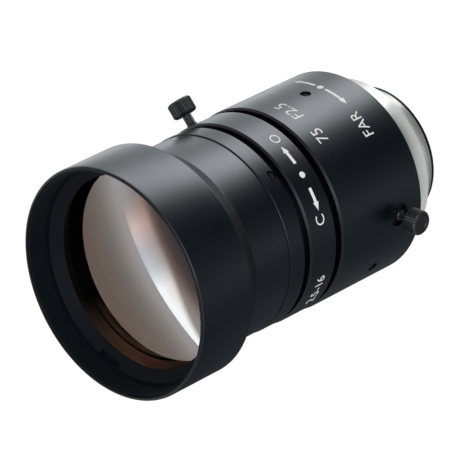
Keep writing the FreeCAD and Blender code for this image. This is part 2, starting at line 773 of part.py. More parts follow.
def main_barrel():
    """Moving barrel: helicoid skirt, iris chamber and the seat of the front doublet."""
    skirt = size("skirt_radius")
    skirt_bore = size("skirt_bore")
    ride = size("ride_radius")
    front = size("barrel_radius")
    chamber = size("chamber_bore")
    chamfer = size("barrel_chamfer")
    ride_rear = nut_front + size("ride_inset")
    barrel = turned("main_barrel", [
        (skirt_bore, skirt_rear),
        (skirt, skirt_rear),
        (skirt, ride_rear),
        (ride, ride_rear),
        (ride, ride_front),
        (front, ride_front),
        (front, barrel_front - chamfer),
        (front - chamfer, barrel_front),
        (size("doublet_bore"), barrel_front),
        (size("doublet_bore"), doublet_seat),
        (chamber, doublet_seat),
        (chamber, chamber_floor),
        (size("web_bore"), chamber_floor),
        (size("web_bore"), web_rear),
        (skirt_bore, web_rear),
    ])
    half = size("key_width") * HALF + pin_gap
    low = (-half, skirt_rear - size("skirt_gap"))
    high = (half, tube_front)
    keyway = rectangle_sketch(barrel, "keyway_shape", "YZ_Plane", low, high)
    face_outwards(keyway, size("key_angle"), size("web_bore"))
    cut_outwards(barrel, keyway, "keyway", skirt)
    half_slot = size("drive_slot_half_width")
    height = drive_height
    low = (chamber - run_gap, height - half_slot)
    high = (front + run_gap, height + half_slot)
    window = rectangle_sketch(barrel, "drive_window_shape", "XZ_Plane", low, high)
    first = size("drive_screw_angle") + size("drive_slot_margin")
    window.AttachmentOffset = Placement(Vector(), Rotation(Vector(0, 1, 0), first.value))
    window.setExpression("AttachmentOffset.Rotation.Angle", f"{first.text} * 1 deg")
    before = barrel.Shape.Volume
    groove = barrel.newObject("PartDesign::Groove", "drive_window")
    groove.Profile = window
    groove.ReferenceAxis = (window, ["V_Axis"])
    sweep = size("iris_ring_throw") + size("drive_slot_margin") + size("drive_slot_margin")
    groove.Angle = sweep.value
    groove.setExpression("Angle", f"{sweep.text} * 1 deg")
    groove.Reversed = True
    doc.recompute()
    if barrel.Shape.Volume > before - EPSILON:
        raise RuntimeError("the drive window cuts nothing")
    return barrel


def iris_base_plate():
    """Plate on the chamber floor with one pivot hole for each blade."""
    outer = size("chamber_bore") - run_gap
    plate = turned("iris_base_plate", [
        (size("stop_radius"), chamber_floor),
        (outer, chamber_floor),
        (outer, plate_top),
        (size("stop_radius"), plate_top),
    ])
    sketch = circle_sketch(plate, "pivot_circle", "XY_Plane", size("blade_pin_radius") + pin_gap,
                           size("blade_pivot_radius"), ZERO)
    sketch.AttachmentOffset = Placement(Vector(0, 0, chamber_floor.value), Rotation())
    sketch.setExpression("AttachmentOffset.Base.z", chamber_floor.text)
    hole = cut_outwards(plate, sketch, "pivot_hole", size("base_plate_thickness") * THROUGH)
    pattern(plate, hole, "pivot_holes", "Z_Axis", BLADE_COUNT)
    return plate


def cylinder(name, radius, height, x, y, z, angle=None):
    """A Part cylinder whose sizes and place follow the sheet."""
    piece = doc.addObject("Part::Cylinder", name)
    piece.Radius = radius.value
    piece.Height = height.value
    piece.setExpression("Radius", radius.text)
    piece.setExpression("Height", height.text)
    if angle:
        piece.Angle = angle.value
        piece.setExpression("Angle", angle.text)
    piece.Placement = Placement(Vector(x.value, y.value, z.value), Rotation())
    for axis, dim in (("x", x), ("y", y), ("z", z)):
        piece.setExpression(f"Placement.Base.{axis}", dim.text)
    return piece


def iris_blade(number):
    """One crescent leaf: pivot pin below, drive pin above, in its own layer."""
    label = f"iris_blade_{number}"
    base = plate_top + size("blade_pitch") * number - size("blade_pitch") * HALF
    leaf = size("blade_thickness")
    inner = size("blade_inner_radius")
    outer = size("blade_outer_radius")
    pivot = size("blade_pivot_radius")
    pin = size("blade_pin_radius")
    heel = cylinder(f"{label}_heel", size("blade_heel_radius"), leaf, ZERO, ZERO, base,
                    size("blade_heel_angle"))
    tail = cylinder(f"{label}_tail", outer, leaf, ZERO, ZERO, base, size("blade_tail_angle"))
    crescent = doc.addObject("Part::MultiFuse", f"{label}_sectors")
    crescent.Shapes = [heel, tail]
    opening = cylinder(f"{label}_opening", inner, leaf + leaf, ZERO, ZERO, base - leaf * HALF)
    body = doc.addObject("Part::Cut", f"{label}_crescent")
    body.Base = crescent
    body.Tool = opening
    heel_end = cylinder(f"{label}_heel_end", size("blade_heel_end_radius"), leaf, pivot, ZERO, base)
    middle = (inner + outer) * HALF
    tip_radius = (outer - inner) * HALF - seat_gap
    tip = cylinder(f"{label}_tip", tip_radius, leaf, along(middle, size("blade_tail_angle")),
                   across(middle, size("blade_tail_angle")), base)
    pin_foot = chamber_floor + seat_gap
    pivot_pin = cylinder(f"{label}_pivot", pin, base - pin_foot + leaf, pivot, ZERO, pin_foot)
    drive_top = cam_front - size("blade_pitch")
    drive_pin = cylinder(f"{label}_drive", pin, drive_top - base,
                         along(size("blade_pin_circle"), size("blade_pin_angle")),
                         across(size("blade_pin_circle"), size("blade_pin_angle")), base)
    blade = doc.addObject("Part::MultiFuse", label)
    blade.Label = label
    blade.Shapes = [body, heel_end, tip, pivot_pin, drive_pin]
    blade.Placement = Placement(Vector(), Rotation(Vector(0, 0, 1), BLADE_STEP * number))
    doc.recompute()
    return blade


def cam_path(share):
    """Drive pin's place on the cam ring when the ring has made this share of its throw."""
    circle = size("blade_pin_circle")
    angle = size("blade_pin_angle")
    start = Vector(along(circle, angle).value, across(circle, angle).value, 0)
    pivot = Vector(size("blade_pivot_radius").value, 0, 0)
    swing = Rotation(Vector(0, 0, 1), size("blade_swing").value * share)
    unwind = Rotation(Vector(0, 0, 1), size("iris_ring_throw").value * share)
    return unwind.multVec(pivot + swing.multVec(start - pivot))


def cam_point(share, side):
    """Point on one edge of a cam slot, or on its middle line for side 0."""
    place = cam_path(share)
    heading = (cam_path(share + CAM_STEP) - place).normalize()
    half_width = size("blade_pin_radius").value + pin_gap.value
    return place + Vector(-heading.y, heading.x, 0) * (half_width * side)


def cam_slot():
    """Closed face of one cam slot, round at both ends."""
    shares = [index / (CAM_SAMPLES - 1) for index in range(CAM_SAMPLES)]
    left = Part.BSplineCurve()
    left.interpolate([cam_point(share, 1) for share in shares])
    right = Part.BSplineCurve()
    right.interpolate([cam_point(share, -1) for share in reversed(shares)])
    half_width = size("blade_pin_radius").value + pin_gap.value
    ends = []
    for share, sense in ((1.0, 1), (0.0, -1)):
        centre = cam_point(share, 0)
        side = cam_point(share, 1) - centre
        forward = Vector(side.y, -side.x, 0).normalize() * half_width * sense
        first = cam_point(share, sense)
        last = cam_point(share, -sense)
        ends.append(Part.Arc(first, centre + forward, last).toShape())
    wire = Part.Wire([left.toShape(), ends[0], right.toShape(), ends[1]])
    return Part.Face(wire)


def iris_cam_ring():
    """Ring that turns with the iris ring; its curved slots drive the blades."""
    outer = size("chamber_bore").value - size("running_clearance").value
    thickness = size("cam_thickness").value
    blank = Part.makeCylinder(outer, thickness)
    blank = blank.cut(Part.makeCylinder(size("cam_bore").value, thickness))
    slot = cam_slot().extrude(Vector(0, 0, thickness))
    for number in range(BLADE_COUNT):
        copy = slot.copy()
        copy.rotate(Vector(), Vector(0, 0, 1), BLADE_STEP * number)
        blank = blank.cut(copy)
    bite = Part.makeCylinder(size("drive_screw_radius").value, outer,
                             Vector(outer - size("drive_screw_bite").value, 0, thickness * HALF),
                             Vector(1, 0, 0))
    bite.rotate(Vector(), Vector(0, 0, 1), size("drive_screw_angle").value)
    ring = doc.addObject("Part::Feature", "iris_cam_ring")
    ring.Label = "iris_cam_ring"
    ring.Shape = blank.cut(bite)
    ring.Placement = Placement(Vector(0, 0, cam_rear.value), Rotation())
    return ring


def iris_retaining_ring():
    """Slotted ring that closes the iris chamber."""
    outer = size("chamber_bore")
    inner = size("iris_retainer_bore")
    ring = turned("iris_retaining_ring", [
        (inner, iris_retainer_rear),
        (outer, iris_retainer_rear),
        (outer, iris_retainer_front),
        (inner, iris_retainer_front),
    ])
    return spanner_slots(ring, "iris_retaining_ring", iris_retainer_front, outer)


def spanner_slots(ring, label, face, reach, width=slot_width, angle=ZERO):
    """Two slots across a ring's face, for a pin or blade spanner."""
    low = (-width * HALF, face - slot_depth)
    high = (width * HALF, face + slot_depth)
    sketch = rectangle_sketch(ring, f"{label}_slot_shape", "YZ_Plane", low, high)
    face_outwards(sketch, angle, ZERO)
    slot = cut_outwards(ring, sketch, f"{label}_slot", reach * THROUGH)
    pattern(ring, slot, f"{label}_slots", "Z_Axis", SLOTS_PER_RING)
    return ring


def iris_ring():
    """Iris grip, held between the barrel's shoulder and the collar."""
    outer = size("iris_ring_radius")
    chamfer = size("ring_chamfer")
    wide = size("ride_radius") + run_gap
    narrow = size("barrel_radius") + run_gap
    step = ride_front + end_gap
    ring = turned("iris_ring", [
        (wide, iris_rear),
        (outer - chamfer, iris_rear),
        (outer, iris_rear + chamfer),
        (outer, iris_front - chamfer),
        (outer - chamfer, iris_front),
        (narrow, iris_front),
        (narrow, step),
        (wide, step),
    ])
    radial_hole(ring, "iris_lock_hole", size("lock_hole_radius"), iris_rear + size("iris_lock_setback"),
                size("iris_lock_angle"), ZERO, outer * THROUGH)
    radial_hole(ring, "drive_hole", size("drive_screw_radius"), drive_height,
                size("drive_screw_angle"), ZERO, outer * THROUGH)
    sink = outer - size("drive_head_sink") - size("drive_head_length")
    radial_hole(ring, "drive_counterbore", size("drive_head_radius") + seat_gap, drive_height,
                size("drive_screw_angle"), sink, outer)
    return ring


def iris_drive_screw():
    """Screw that passes through the barrel and carries the cam ring round."""
    shank = size("drive_screw_radius")
    head = size("drive_head_radius")
    top = size("iris_ring_radius") - size("drive_head_sink")
    sink = top - size("drive_head_length")
    tip = size("chamber_bore") - run_gap - size("drive_screw_bite")
    screw = turned_across("iris_drive_screw", [
        (tip, ZERO),
        (tip, shank),
        (sink, shank),
        (sink, head),
        (top, head),
        (top, ZERO),
    ])
    half = size("grub_slot_width") * HALF
    low = (top - size("grub_slot_depth"), -half)
    high = (top + size("grub_slot_depth"), half)
    sketch = rectangle_sketch(screw, "drive_screw_slot_shape", "XZ_Plane", low, high)
    slot = screw.newObject("PartDesign::Pocket", "drive_screw_slot")
    slot.Profile = sketch
    slot.Midplane = True
    through = head * (THROUGH + THROUGH)
    slot.Length = through.value
    slot.setExpression("Length", through.text)
    doc.recompute()
    place_on_radius(screw, drive_height, size("drive_screw_angle"))
    return screw


def collar_ring():
    """Collar that keeps the iris ring in place; set screws hold it on the barrel."""
    outer = size("collar_radius")
    spigot = size("collar_spigot_radius")
    bore = size("barrel_radius") + seat_gap
    chamfer = size("collar_chamfer")
    ring = turned("collar_ring", [
        (bore, iris_front + end_gap),
        (spigot, iris_front + end_gap),
        (spigot, collar_rear),
        (outer - chamfer, collar_rear),
        (outer, collar_rear + chamfer),
        (outer, collar_front - chamfer),
        (outer - chamfer, collar_front),
        (bore, collar_front),
    ])
    hole = radial_hole(ring, "set_hole", size("collar_hole_radius"),
                       collar_rear + size("collar_screw_setback"), size("collar_screw_angle"),
                       ZERO, outer * THROUGH)
    pattern(ring, hole, "set_holes", "Z_Axis", size("screw_count").value, "Sizes.screw_count")
    return ring


def collar_set_screws():
    """Three set screws in the collar."""
    top = size("collar_radius") - size("collar_screw_sink")
    tip = size("barrel_radius") + seat_gap
    cone = size("collar_screw_radius") * HALF
    screw = slotted_screw("collar_set_screws", tip, cone, top, size("collar_screw_radius"))
    ring_of(screw, "collar_set_screws")
    place_on_radius(screw, collar_rear + size("collar_screw_setback"), size("collar_screw_angle"))
    return screw


def front_barrel():
    """Neck, cone and hood in one turned piece, with the seats of the front glass."""
    neck = size("neck_radius")
    hood = size("hood_radius")
    rim = size("hood_front_chamfer")
    mouth = size("filter_mouth_chamfer")
    seam = size("collar_chamfer")
    glass_bore = front_glass + seat_gap
    second_bore = second_glass + seat_gap
    second_light = second_glass - size("second_seat_width")
    barrel_bore = size("barrel_radius") + seat_gap
    return turned("front_barrel", [
        (barrel_bore, collar_front),
        (neck - seam, collar_front),
        (neck, collar_front + seam),
        (neck, neck_front),
        (hood, hood_rear),
        (hood, hood_front - rim),
        (hood - rim, hood_front),
        (filter_thread + mouth, hood_front),
        (filter_thread, hood_front - mouth),
        (filter_thread, retainer_front),
        (retainer_thread, retainer_front),
        (retainer_thread, glass_edge),
        (glass_bore, glass_edge),
        (glass_bore, front_seat),
        (second_bore, front_seat),
        (second_bore, second_seat),
        (second_light, second_seat),
        (second_light, second_shoulder),
        (barrel_bore, second_shoulder),
    ])


def front_retaining_ring():
    """Threaded ring with a conical mouth that holds the front element."""
    ring = turned("front_retaining_ring", [
        (retainer_bore, glass_edge),
        (retainer_thread, glass_edge),
        (retainer_thread, retainer_front),
        (retainer_thread - size("retainer_rim"), retainer_front),
    ])
    return spanner_slots(ring, "front_retaining_ring", retainer_front, retainer_thread,
                         size("retainer_slot_width"), size("retainer_slot_angle"))


def front_element():
    """Front glass, bulging forwards."""
    curve = size("front_glass_curve")
    back = size("front_glass_back_curve")
    back_rim = front_glass - size("front_glass_land")
    front_top = front_glass_rim + sag(curve, front_glass)
    back_top = front_seat + sag(back, back_rim)
    return turned("front_element", [
        (ZERO, back_top),
        (back_rim, front_seat),
        (front_glass, front_seat),
        (front_glass, front_glass_rim),
        (ZERO, front_top),
    ], {0: back_top - back, 3: front_top - curve})


def front_spacer():
    """Spacer ring between the first and second elements."""
    bore = second_glass - size("front_spacer_width")
    curve = size("second_glass_curve")
    bottom = second_rim + sag(curve, second_glass) - sag(curve, bore)
    return turned("front_spacer", [
        (bore, bottom),
        (second_glass, bottom),
        (second_glass, front_seat),
        (bore, front_seat),
    ])


def second_element():
    """Strongly curved meniscus behind the front glass."""
    curve = size("second_glass_curve")
    back = size("second_glass_back_curve")
    back_rim = second_glass - size("second_glass_land")
    front_top = second_rim + sag(curve, second_glass)
    back_top = second_seat + sag(back, back_rim)
    return turned("second_element", [
        (ZERO, back_top),
        (back_rim, second_seat),
        (second_glass, second_seat),
        (second_glass, second_rim),
        (ZERO, front_top),
    ], {0: back_top - back, 3: front_top - curve})


def third_element():
    """Front half of the cemented doublet before the iris."""
    outer = size("doublet_radius")
    joint = doublet_seat + size("fourth_glass_edge")
    rim = joint + size("third_glass_edge")
    curve = size("third_glass_curve")
    cement = size("cement_curve")
    return turned("third_element", [
        (ZERO, joint + sag(cement, outer)),
        (outer, joint),
        (outer, rim),
        (ZERO, rim + sag(curve, outer)),
    ], {0: joint + sag(cement, outer) - cement, 2: rim + sag(curve, outer) - curve})


def fourth_element():
    """Rear half of that doublet, hollow towards the iris."""
    outer = size("doublet_radius")
    joint = doublet_seat + size("fourth_glass_edge")
    cement = size("cement_curve")
    hollow = size("fourth_glass_curve")
    hollow_rim = size("fourth_glass_back_radius")
    return turned("fourth_element", [
        (ZERO, doublet_seat + sag(hollow, hollow_rim)),
        (hollow_rim, doublet_seat),
        (outer, doublet_seat),
        (outer, joint),
        (ZERO, joint + sag(cement, outer)),
    ], {0: doublet_seat + sag(hollow, hollow_rim) - hollow, 3: joint + sag(cement, outer) - cement})


def doublet_retaining_ring():
    """Slotted ring that holds the front doublet in the barrel."""
    bore = size("doublet_retainer_bore")
    outer = size("doublet_bore")
    rim = doublet_seat + size("fourth_glass_edge") + size("third_glass_edge")
    curve = size("third_glass_curve")
    bottom = rim + sag(curve, size("doublet_radius")) - sag(curve, bore)
    top = bottom + size("doublet_retainer_length")
    ring = turned("doublet_retaining_ring", [
        (bore, bottom),
        (outer, bottom),
        (outer, top),
        (bore, top),
    ])
    return spanner_slots(ring, "doublet_retaining_ring", top, outer)


cell_rear = size("rear_cell_end")
cell_front = chamber_floor - size("rear_cell_nose")
inner_seat = cell_front - size("inner_doublet_depth")
rear_glass_rear = cell_rear + size("rear_glass_setback")
rear_glass_front = rear_glass_rear + size("rear_glass_edge")


def rear_cell():
    """Tube that hangs behind the iris and carries the rear group."""
    outer = size("rear_cell_radius")
    neck = size("web_bore")
    rear_bore = size("rear_glass_radius") + seat_gap
    front_bore = size("inner_doublet_radius") + seat_gap
    light = size("cell_light_radius")
    return turned("rear_cell", [
        (rear_bore, cell_rear),
        (outer, cell_rear),
        (outer, web_rear),
        (neck, web_rear),
        (neck, cell_front),
        (front_bore, cell_front),
        (front_bore, inner_seat),
        (light, inner_seat),
        (light, rear_glass_front),
        (rear_bore, rear_glass_front),
    ])


def fifth_element():
    """Front half of the cemented doublet in the rear cell."""
    outer = size("inner_doublet_radius")
    joint = inner_seat + size("sixth_glass_edge")
    top = joint + size("fifth_glass_edge")
    hollow = size("fifth_glass_curve")
    hollow_rim = size("fifth_glass_rim")
    cement = size("inner_cement_curve")
    return turned("fifth_element", [
        (ZERO, joint + sag(cement, outer)),
        (outer, joint),
        (outer, top),
        (hollow_rim, top),
        (ZERO, top - sag(hollow, hollow_rim)),
    ], {0: joint + sag(cement, outer) - cement, 3: top - sag(hollow, hollow_rim) + hollow})


def sixth_element():
    """Rear half of that doublet."""
    outer = size("inner_doublet_radius")
    joint = inner_seat + size("sixth_glass_edge")
    cement = size("inner_cement_curve")
    back = size("sixth_glass_curve")
    light = size("cell_light_radius")
    return turned("sixth_element", [
        (ZERO, inner_seat - sag(back, light)),
        (light, inner_seat),
        (outer, inner_seat),
        (outer, joint),
        (ZERO, joint + sag(cement, outer)),
    ], {0: inner_seat - sag(back, light) + back, 3: joint + sag(cement, outer) - cement})


def inner_retaining_ring():
    """Slotted ring that holds the inner doublet."""
    outer = size("inner_doublet_radius") + seat_gap
    bore = size("inner_retainer_bore")
    bottom = inner_seat + size("sixth_glass_edge") + size("fifth_glass_edge")
    top = bottom + size("inner_retainer_length")
    ring = turned("inner_retaining_ring", [
        (bore, bottom),
        (outer, bottom),
        (outer, top),
        (bore, top),
    ])
    return spanner_slots(ring, "inner_retaining_ring", top, outer)


def rear_element():
    """Rear glass, curved on both sides."""
    outer = size("rear_glass_radius")
    light = size("cell_light_radius")
    bore = size("rear_retainer_bore")
    back = size("rear_glass_curve")
    front = size("rear_glass_front_curve")
    return turned("rear_element", [
        (ZERO, rear_glass_rear - sag(back, bore)),
        (bore, rear_glass_rear),
        (outer, rear_glass_rear),
        (outer, rear_glass_front),
        (light, rear_glass_front),
        (ZERO, rear_glass_front + sag(front, light)),
    ], {0: rear_glass_rear - sag(back, bore) + back,
        4: rear_glass_front + sag(front, light) - front})


def rear_retaining_ring():
    """Slotted ring that holds the rear glass in its cell."""
    outer = size("rear_glass_radius") + seat_gap
    bore = size("rear_retainer_bore")
    bottom = cell_rear + size("rear_retainer_setback")
    ring = turned("rear_retaining_ring", [
        (bore, bottom),
        (outer, bottom),
        (outer, rear_glass_rear),
        (bore, rear_glass_rear),
    ])
    return spanner_slots(ring, "rear_retaining_ring", bottom, outer)


def focus_lock_screw():
    surface = size("focus_ring_radius")
    tip = size("drum_radius") + seat_gap
    height = focus_rear + size("focus_lock_setback")
    return lock_screw("focus_lock_screw", tip, surface, height, size("focus_lock_angle"))


def iris_lock_screw():
    surface = size("iris_ring_radius")
    tip = size("barrel_radius") + seat_gap
    height = iris_rear + size("iris_lock_setback")
    return lock_screw("iris_lock_screw", tip, surface, height, size("iris_lock_angle"))


pieces = [
    mount_ring(),
    rear_baffle_ring(),
    fixed_sleeve(),
    guide_key(),
    guide_key_screws(),
    focus_ring(),
    helicoid_nut(),
    focus_grub_screws(),
    focus_lock_screw(),
    main_barrel(),
    iris_base_plate(),
    iris_cam_ring(),
    iris_retaining_ring(),
    iris_ring(),
    iris_drive_screw(),
    iris_lock_screw(),
    collar_ring(),
    collar_set_screws(),
    front_barrel(),
    front_retaining_ring(),
    front_element(),
    front_spacer(),
    second_element(),
    third_element(),
    fourth_element(),
    doublet_retaining_ring(),
    rear_cell(),
    fifth_element(),
    sixth_element(),
    inner_retaining_ring(),
    rear_element(),
    rear_retaining_ring(),
]
pieces += [iris_blade(number) for number in range(1, BLADE_COUNT + 1)]

doc.recompute()
for item in doc.Objects:
    if "Invalid" in item.State or "Error" in item.State:
        raise RuntimeError(f"{item.Label} did not build: {item.State}")

os.makedirs("parts", exist_ok=True)
for piece in pieces:
    shape = piece.Shape
    if shape.isNull() or not shape.isValid() or not shape.Solids:
        raise RuntimeError(f"{piece.Label} has no valid solid")
    shape.exportStep(f"parts/{piece.Label}.step")
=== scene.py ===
import math
import bmesh
import bpy
from mathutils import Euler, Matrix, Quaternion, Vector


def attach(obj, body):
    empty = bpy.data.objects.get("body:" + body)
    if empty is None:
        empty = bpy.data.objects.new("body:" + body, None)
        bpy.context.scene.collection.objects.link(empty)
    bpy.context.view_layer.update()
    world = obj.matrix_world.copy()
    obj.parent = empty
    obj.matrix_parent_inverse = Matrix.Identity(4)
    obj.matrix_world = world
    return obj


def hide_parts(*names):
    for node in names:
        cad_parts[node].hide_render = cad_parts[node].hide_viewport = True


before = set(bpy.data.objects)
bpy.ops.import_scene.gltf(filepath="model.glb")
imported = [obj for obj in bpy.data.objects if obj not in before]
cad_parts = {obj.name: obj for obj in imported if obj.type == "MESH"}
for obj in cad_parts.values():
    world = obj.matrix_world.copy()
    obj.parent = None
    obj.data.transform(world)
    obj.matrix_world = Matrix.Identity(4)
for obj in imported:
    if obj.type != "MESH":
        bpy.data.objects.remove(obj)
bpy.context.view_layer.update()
MM = 0.001

# Studio: a white table and surround, lit by a strip softbox over and beyond the lens and by
# a wide, soft one behind the camera. The camera stands where the photograph was taken from,
# with a long lens. Places are in metres from the lens, apart from the camera's, in millimetres.
CAMERA_PLACE = (-68.98, -520.21, 480.21)
CAMERA_TURNS = (-27.6419, 43.0454, -134.9718)
camera_data = bpy.data.cameras.new("camera")
camera_data.sensor_width = 36.0
camera_data.lens = 309.68
camera_data.clip_start = 0.01
camera_data.clip_end = 20.0
camera = bpy.data.objects.new("camera", camera_data)
camera.location = Vector(CAMERA_PLACE) * MM
camera.rotation_euler = Euler([math.radians(turn) for turn in CAMERA_TURNS])
bpy.context.scene.collection.objects.link(camera)
bpy.context.scene.camera = camera
bpy.context.scene.view_settings.view_transform = "Standard"


def softbox(name, place, aim, width, height, watts, tint, spin=0.0):
    """A rectangular lamp at a place, turned to face a point; in metres, with its spin in degrees."""
    lamp = bpy.data.lights.new(name, "AREA")
    lamp.shape = "RECTANGLE"
    lamp.size = width
    lamp.size_y = height
    lamp.energy = watts
    lamp.color = tint
    stand = bpy.data.objects.new(name, lamp)
    stand.location = place
    facing = (Vector(aim) - Vector(place)).to_track_quat("-Z", "Y")
    stand.rotation_euler = (facing @ Quaternion((0, 0, 1), math.radians(spin))).to_euler()
    bpy.context.scene.collection.objects.link(stand)
    return lamp


def feed(tree, socket, term):
    """Give an input its term: another node's socket, a colour or a number."""
    if isinstance(term, bpy.types.NodeSocket):
        tree.links.new(term, socket)
    else:
        socket.default_value = (*term, 1) if isinstance(term, tuple) else term


def worked_out(tree, operation, *terms):
    """The result of a math node."""
    node = tree.nodes.new("ShaderNodeMath")
    node.operation = operation
    for socket, term in zip(node.inputs, terms):
        feed(tree, socket, term)
    return node.outputs[0]


def spread(tree, value, low, high, to_low=0.0, to_high=1.0):
    """A value carried from one range to another, and held at the ends."""
    node = tree.nodes.new("ShaderNodeMapRange")
    names = ("Value", "From Min", "From Max", "To Min", "To Max")
    for name, term in zip(names, (value, low, high, to_low, to_high)):
        feed(tree, node.inputs[name], term)
    return node.outputs["Result"]


def blend(tree, factor, first, second, kind="RGBA"):
    """The mix of two colours, or of two numbers where the kind is FLOAT."""
    node = tree.nodes.new("ShaderNodeMix")
    node.data_type = kind
    for name, term in (("Factor", factor), ("A", first), ("B", second)):
        feed(tree, node.inputs[name], term)
    return node.outputs["Result"]


def ramp(tree, value, stops):
    """The colour of a ramp at a value; a stop is a position with a colour or a grey level."""
    node = tree.nodes.new("ShaderNodeValToRGB")
    elements = node.color_ramp.elements
    while len(elements) < len(stops):
        elements.new(0.5)
    for element, (position, shade) in zip(elements, stops):
        element.position = position
        element.color = (*shade, 1) if isinstance(shade, tuple) else (shade, shade, shade, 1)
    tree.links.new(value, node.inputs["Fac"])
    return node.outputs["Color"]


def bearing_round_axis(tree):
    """Where a point stands round the lens axis, from 0 to 1 over the full turn."""
    place = tree.nodes.new("ShaderNodeTexCoord")
    around = tree.nodes.new("ShaderNodeTexGradient")
    around.gradient_type = "RADIAL"
    tree.links.new(place.outputs["Object"], around.inputs["Vector"])
    return around.outputs["Fac"]


# Strip softbox: a long lamp behind a diffuser, hung level. It fades and warms towards one end,
# and a slanting barn door narrows the other, with one sharp side and one soft.
DOOR_SHARP_SIDE = 0.06
DOOR_SOFT_SIDE = 0.12
strip = softbox("strip_softbox", place=(0.03, 0.367, 0.5), aim=(0.03, 0.367, 0.0), width=0.54,
                height=0.135, watts=0.52, tint=(1.0, 1.0, 1.0), spin=-7.5)
strip.use_nodes = True
tree = strip.node_tree
lamp_face = tree.nodes.new("ShaderNodeNewGeometry")
face_place = tree.nodes.new("ShaderNodeSeparateXYZ")
tree.links.new(lamp_face.outputs["Parametric"], face_place.inputs["Vector"])
fade = ramp(tree, face_place.outputs["X"], (
    (0.0, (0.92, 0.98, 1.0)), (0.37, (0.92, 0.98, 1.0)), (0.45, (0.86, 0.92, 1.0)),
    (0.52, (0.33, 0.40, 0.45)), (0.59, (0.25, 0.25, 0.30)), (0.67, (0.44, 0.28, 0.24)),
    (0.74, (0.12, 0.03, 0.01)), (0.78, (0, 0, 0))))
door = ramp(tree, face_place.outputs["X"], (
    (0.0, 0.95), (0.2, 0.8), (0.30, 0.63), (0.37, 0.48), (0.445, 0.33), (0.52, 0.22), (0.67, 0.18),
    (1.0, 0.15)))
beyond_door = spread(tree, face_place.outputs["Y"], worked_out(tree, "SUBTRACT", door, DOOR_SHARP_SIDE),
                     worked_out(tree, "ADD", door, DOOR_SOFT_SIDE))
tree.links.new(fade, tree.nodes["Emission"].inputs["Color"])
tree.links.new(beyond_door, tree.nodes["Emission"].inputs["Strength"])
softbox("fill_softbox", place=(-0.35, -0.75, 0.55), aim=(0.0, 0.0, 0.03), width=0.5, height=0.5,
        watts=5.0, tint=(0.97, 0.98, 1.0))

# Surround: white paper hung all round the table. The camera, mirrors and glass see it white,
# and matt surfaces are lit by it at a lower level.
SURROUND_LIGHT = 0.6
world = bpy.data.worlds.new("studio")
bpy.context.scene.world = world
world.use_nodes = True
tree = world.node_tree
ray = tree.nodes.new("ShaderNodeLightPath")
seen = worked_out(tree, "MAXIMUM", ray.outputs["Is Camera Ray"], ray.outputs["Is Glossy Ray"])
seen = worked_out(tree, "MAXIMUM", seen, ray.outputs["Is Transmission Ray"])
background = tree.nodes["Background"]
background.inputs["Color"].default_value = (1, 1, 1, 1)
tree.links.new(spread(tree, seen, 0.0, 1.0, to_low=SURROUND_LIGHT), background.inputs["Strength"])

# Table: white paper under the rear ring, white to the camera. To mirrors it shows painted light:
# the lens's dark walls mirror painted light and dark cards round it, each given by its bearing in
# degrees, painted light and shade on the paper at its foot, given by the distance from the axis
# in millimetres, and a painted blue tint where these painted reflections are dark.
FLOOR_HEIGHT = -5.25
FLOOR_HALF_WIDTH = 3.0
PHOTO_BEARING = 97.5
WALL_OFFSET = 0.024
FOOT_RADIUS = 14.0
FOOT_WIDTH = 14.0
PAPER_WHITE = 1.07
PAPER_GLOW = 0.92
floor_mesh = bmesh.new()
bmesh.ops.create_grid(floor_mesh, x_segments=1, y_segments=1, size=FLOOR_HALF_WIDTH)
bmesh.ops.translate(floor_mesh, verts=floor_mesh.verts, vec=(0, 0, FLOOR_HEIGHT * MM))
floor_data = bpy.data.meshes.new("floor")
floor_mesh.to_mesh(floor_data)
floor_mesh.free()
floor = bpy.data.objects.new("floor", floor_data)
bpy.context.scene.collection.objects.link(floor)
paper = bpy.data.materials.new("white_paper_painted_reflection")
paper.use_nodes = True
tree = paper.node_tree
matt = tree.nodes["Principled BSDF"]
matt.inputs["Base Color"].default_value = (0.8, 0.8, 0.8, 1)
matt.inputs["Roughness"].default_value = 0.9
matt.inputs["Specular IOR Level"].default_value = 0.0
ray = tree.nodes.new("ShaderNodeLightPath")
place = tree.nodes.new("ShaderNodeTexCoord")
reach = tree.nodes.new("ShaderNodeVectorMath")
reach.operation = "LENGTH"
tree.links.new(place.outputs["Object"], reach.inputs[0])
distance = reach.outputs["Value"]
bearing = bearing_round_axis(tree)
# Painted reflection: light and dark cards painted on the paper by bearing, seen only by mirrors.
half_turn = worked_out(tree, "MULTIPLY_ADD", bearing, math.pi, math.radians(PHOTO_BEARING - 180.0) / 2)
offset = worked_out(tree, "MULTIPLY", worked_out(tree, "SINE", half_turn), WALL_OFFSET / math.tau)
seen_bearing = worked_out(tree, "ADD", bearing, worked_out(tree, "DIVIDE", offset, distance))
painted_card_reflection = ramp(tree, seen_bearing, [((degrees + 180.0) / 360.0, shade) for degrees, shade in (
    (-180, 0.018), (-160, 0.034), (-142, 0.070), (-122, 0.038), (-97, 0.006), (-80, 0.012), (-62, 0.066),
    (-50, 0.21), (-40, 0.78), (-25, 1.17), (-10, 0.85), (3, 0.42), (17, 0.24), (38, 0.22), (55, 0.30),
    (66, 0.26), (76, 0.006), (110, 0.006), (150, 0.006), (180, 0.018))])
# Painted light and shade on the paper at the lens's foot, seen only by mirrors.
by_foot = spread(tree, distance, FOOT_RADIUS * MM, (FOOT_RADIUS + FOOT_WIDTH) * MM)
painted_foot_light = ramp(tree, by_foot, [((radius - FOOT_RADIUS) / FOOT_WIDTH, shade) for radius, shade in (
    (14.0, 0.22), (17.0, 0.26), (19.5, 0.72), (22.0, 0.60), (27.0, 0.0))])
foot_side = spread(tree, bearing, low=0.44, high=0.51, to_low=1.0, to_high=0.0)
painted_card_strength = spread(tree, distance, low=22.0 * MM, high=27.0 * MM, to_low=1.1, to_high=5.0)
painted_foot_glow = worked_out(tree, "MULTIPLY", painted_foot_light, foot_side)
painted_reflection = worked_out(tree, "MULTIPLY_ADD", painted_card_reflection, painted_card_strength, painted_foot_glow)
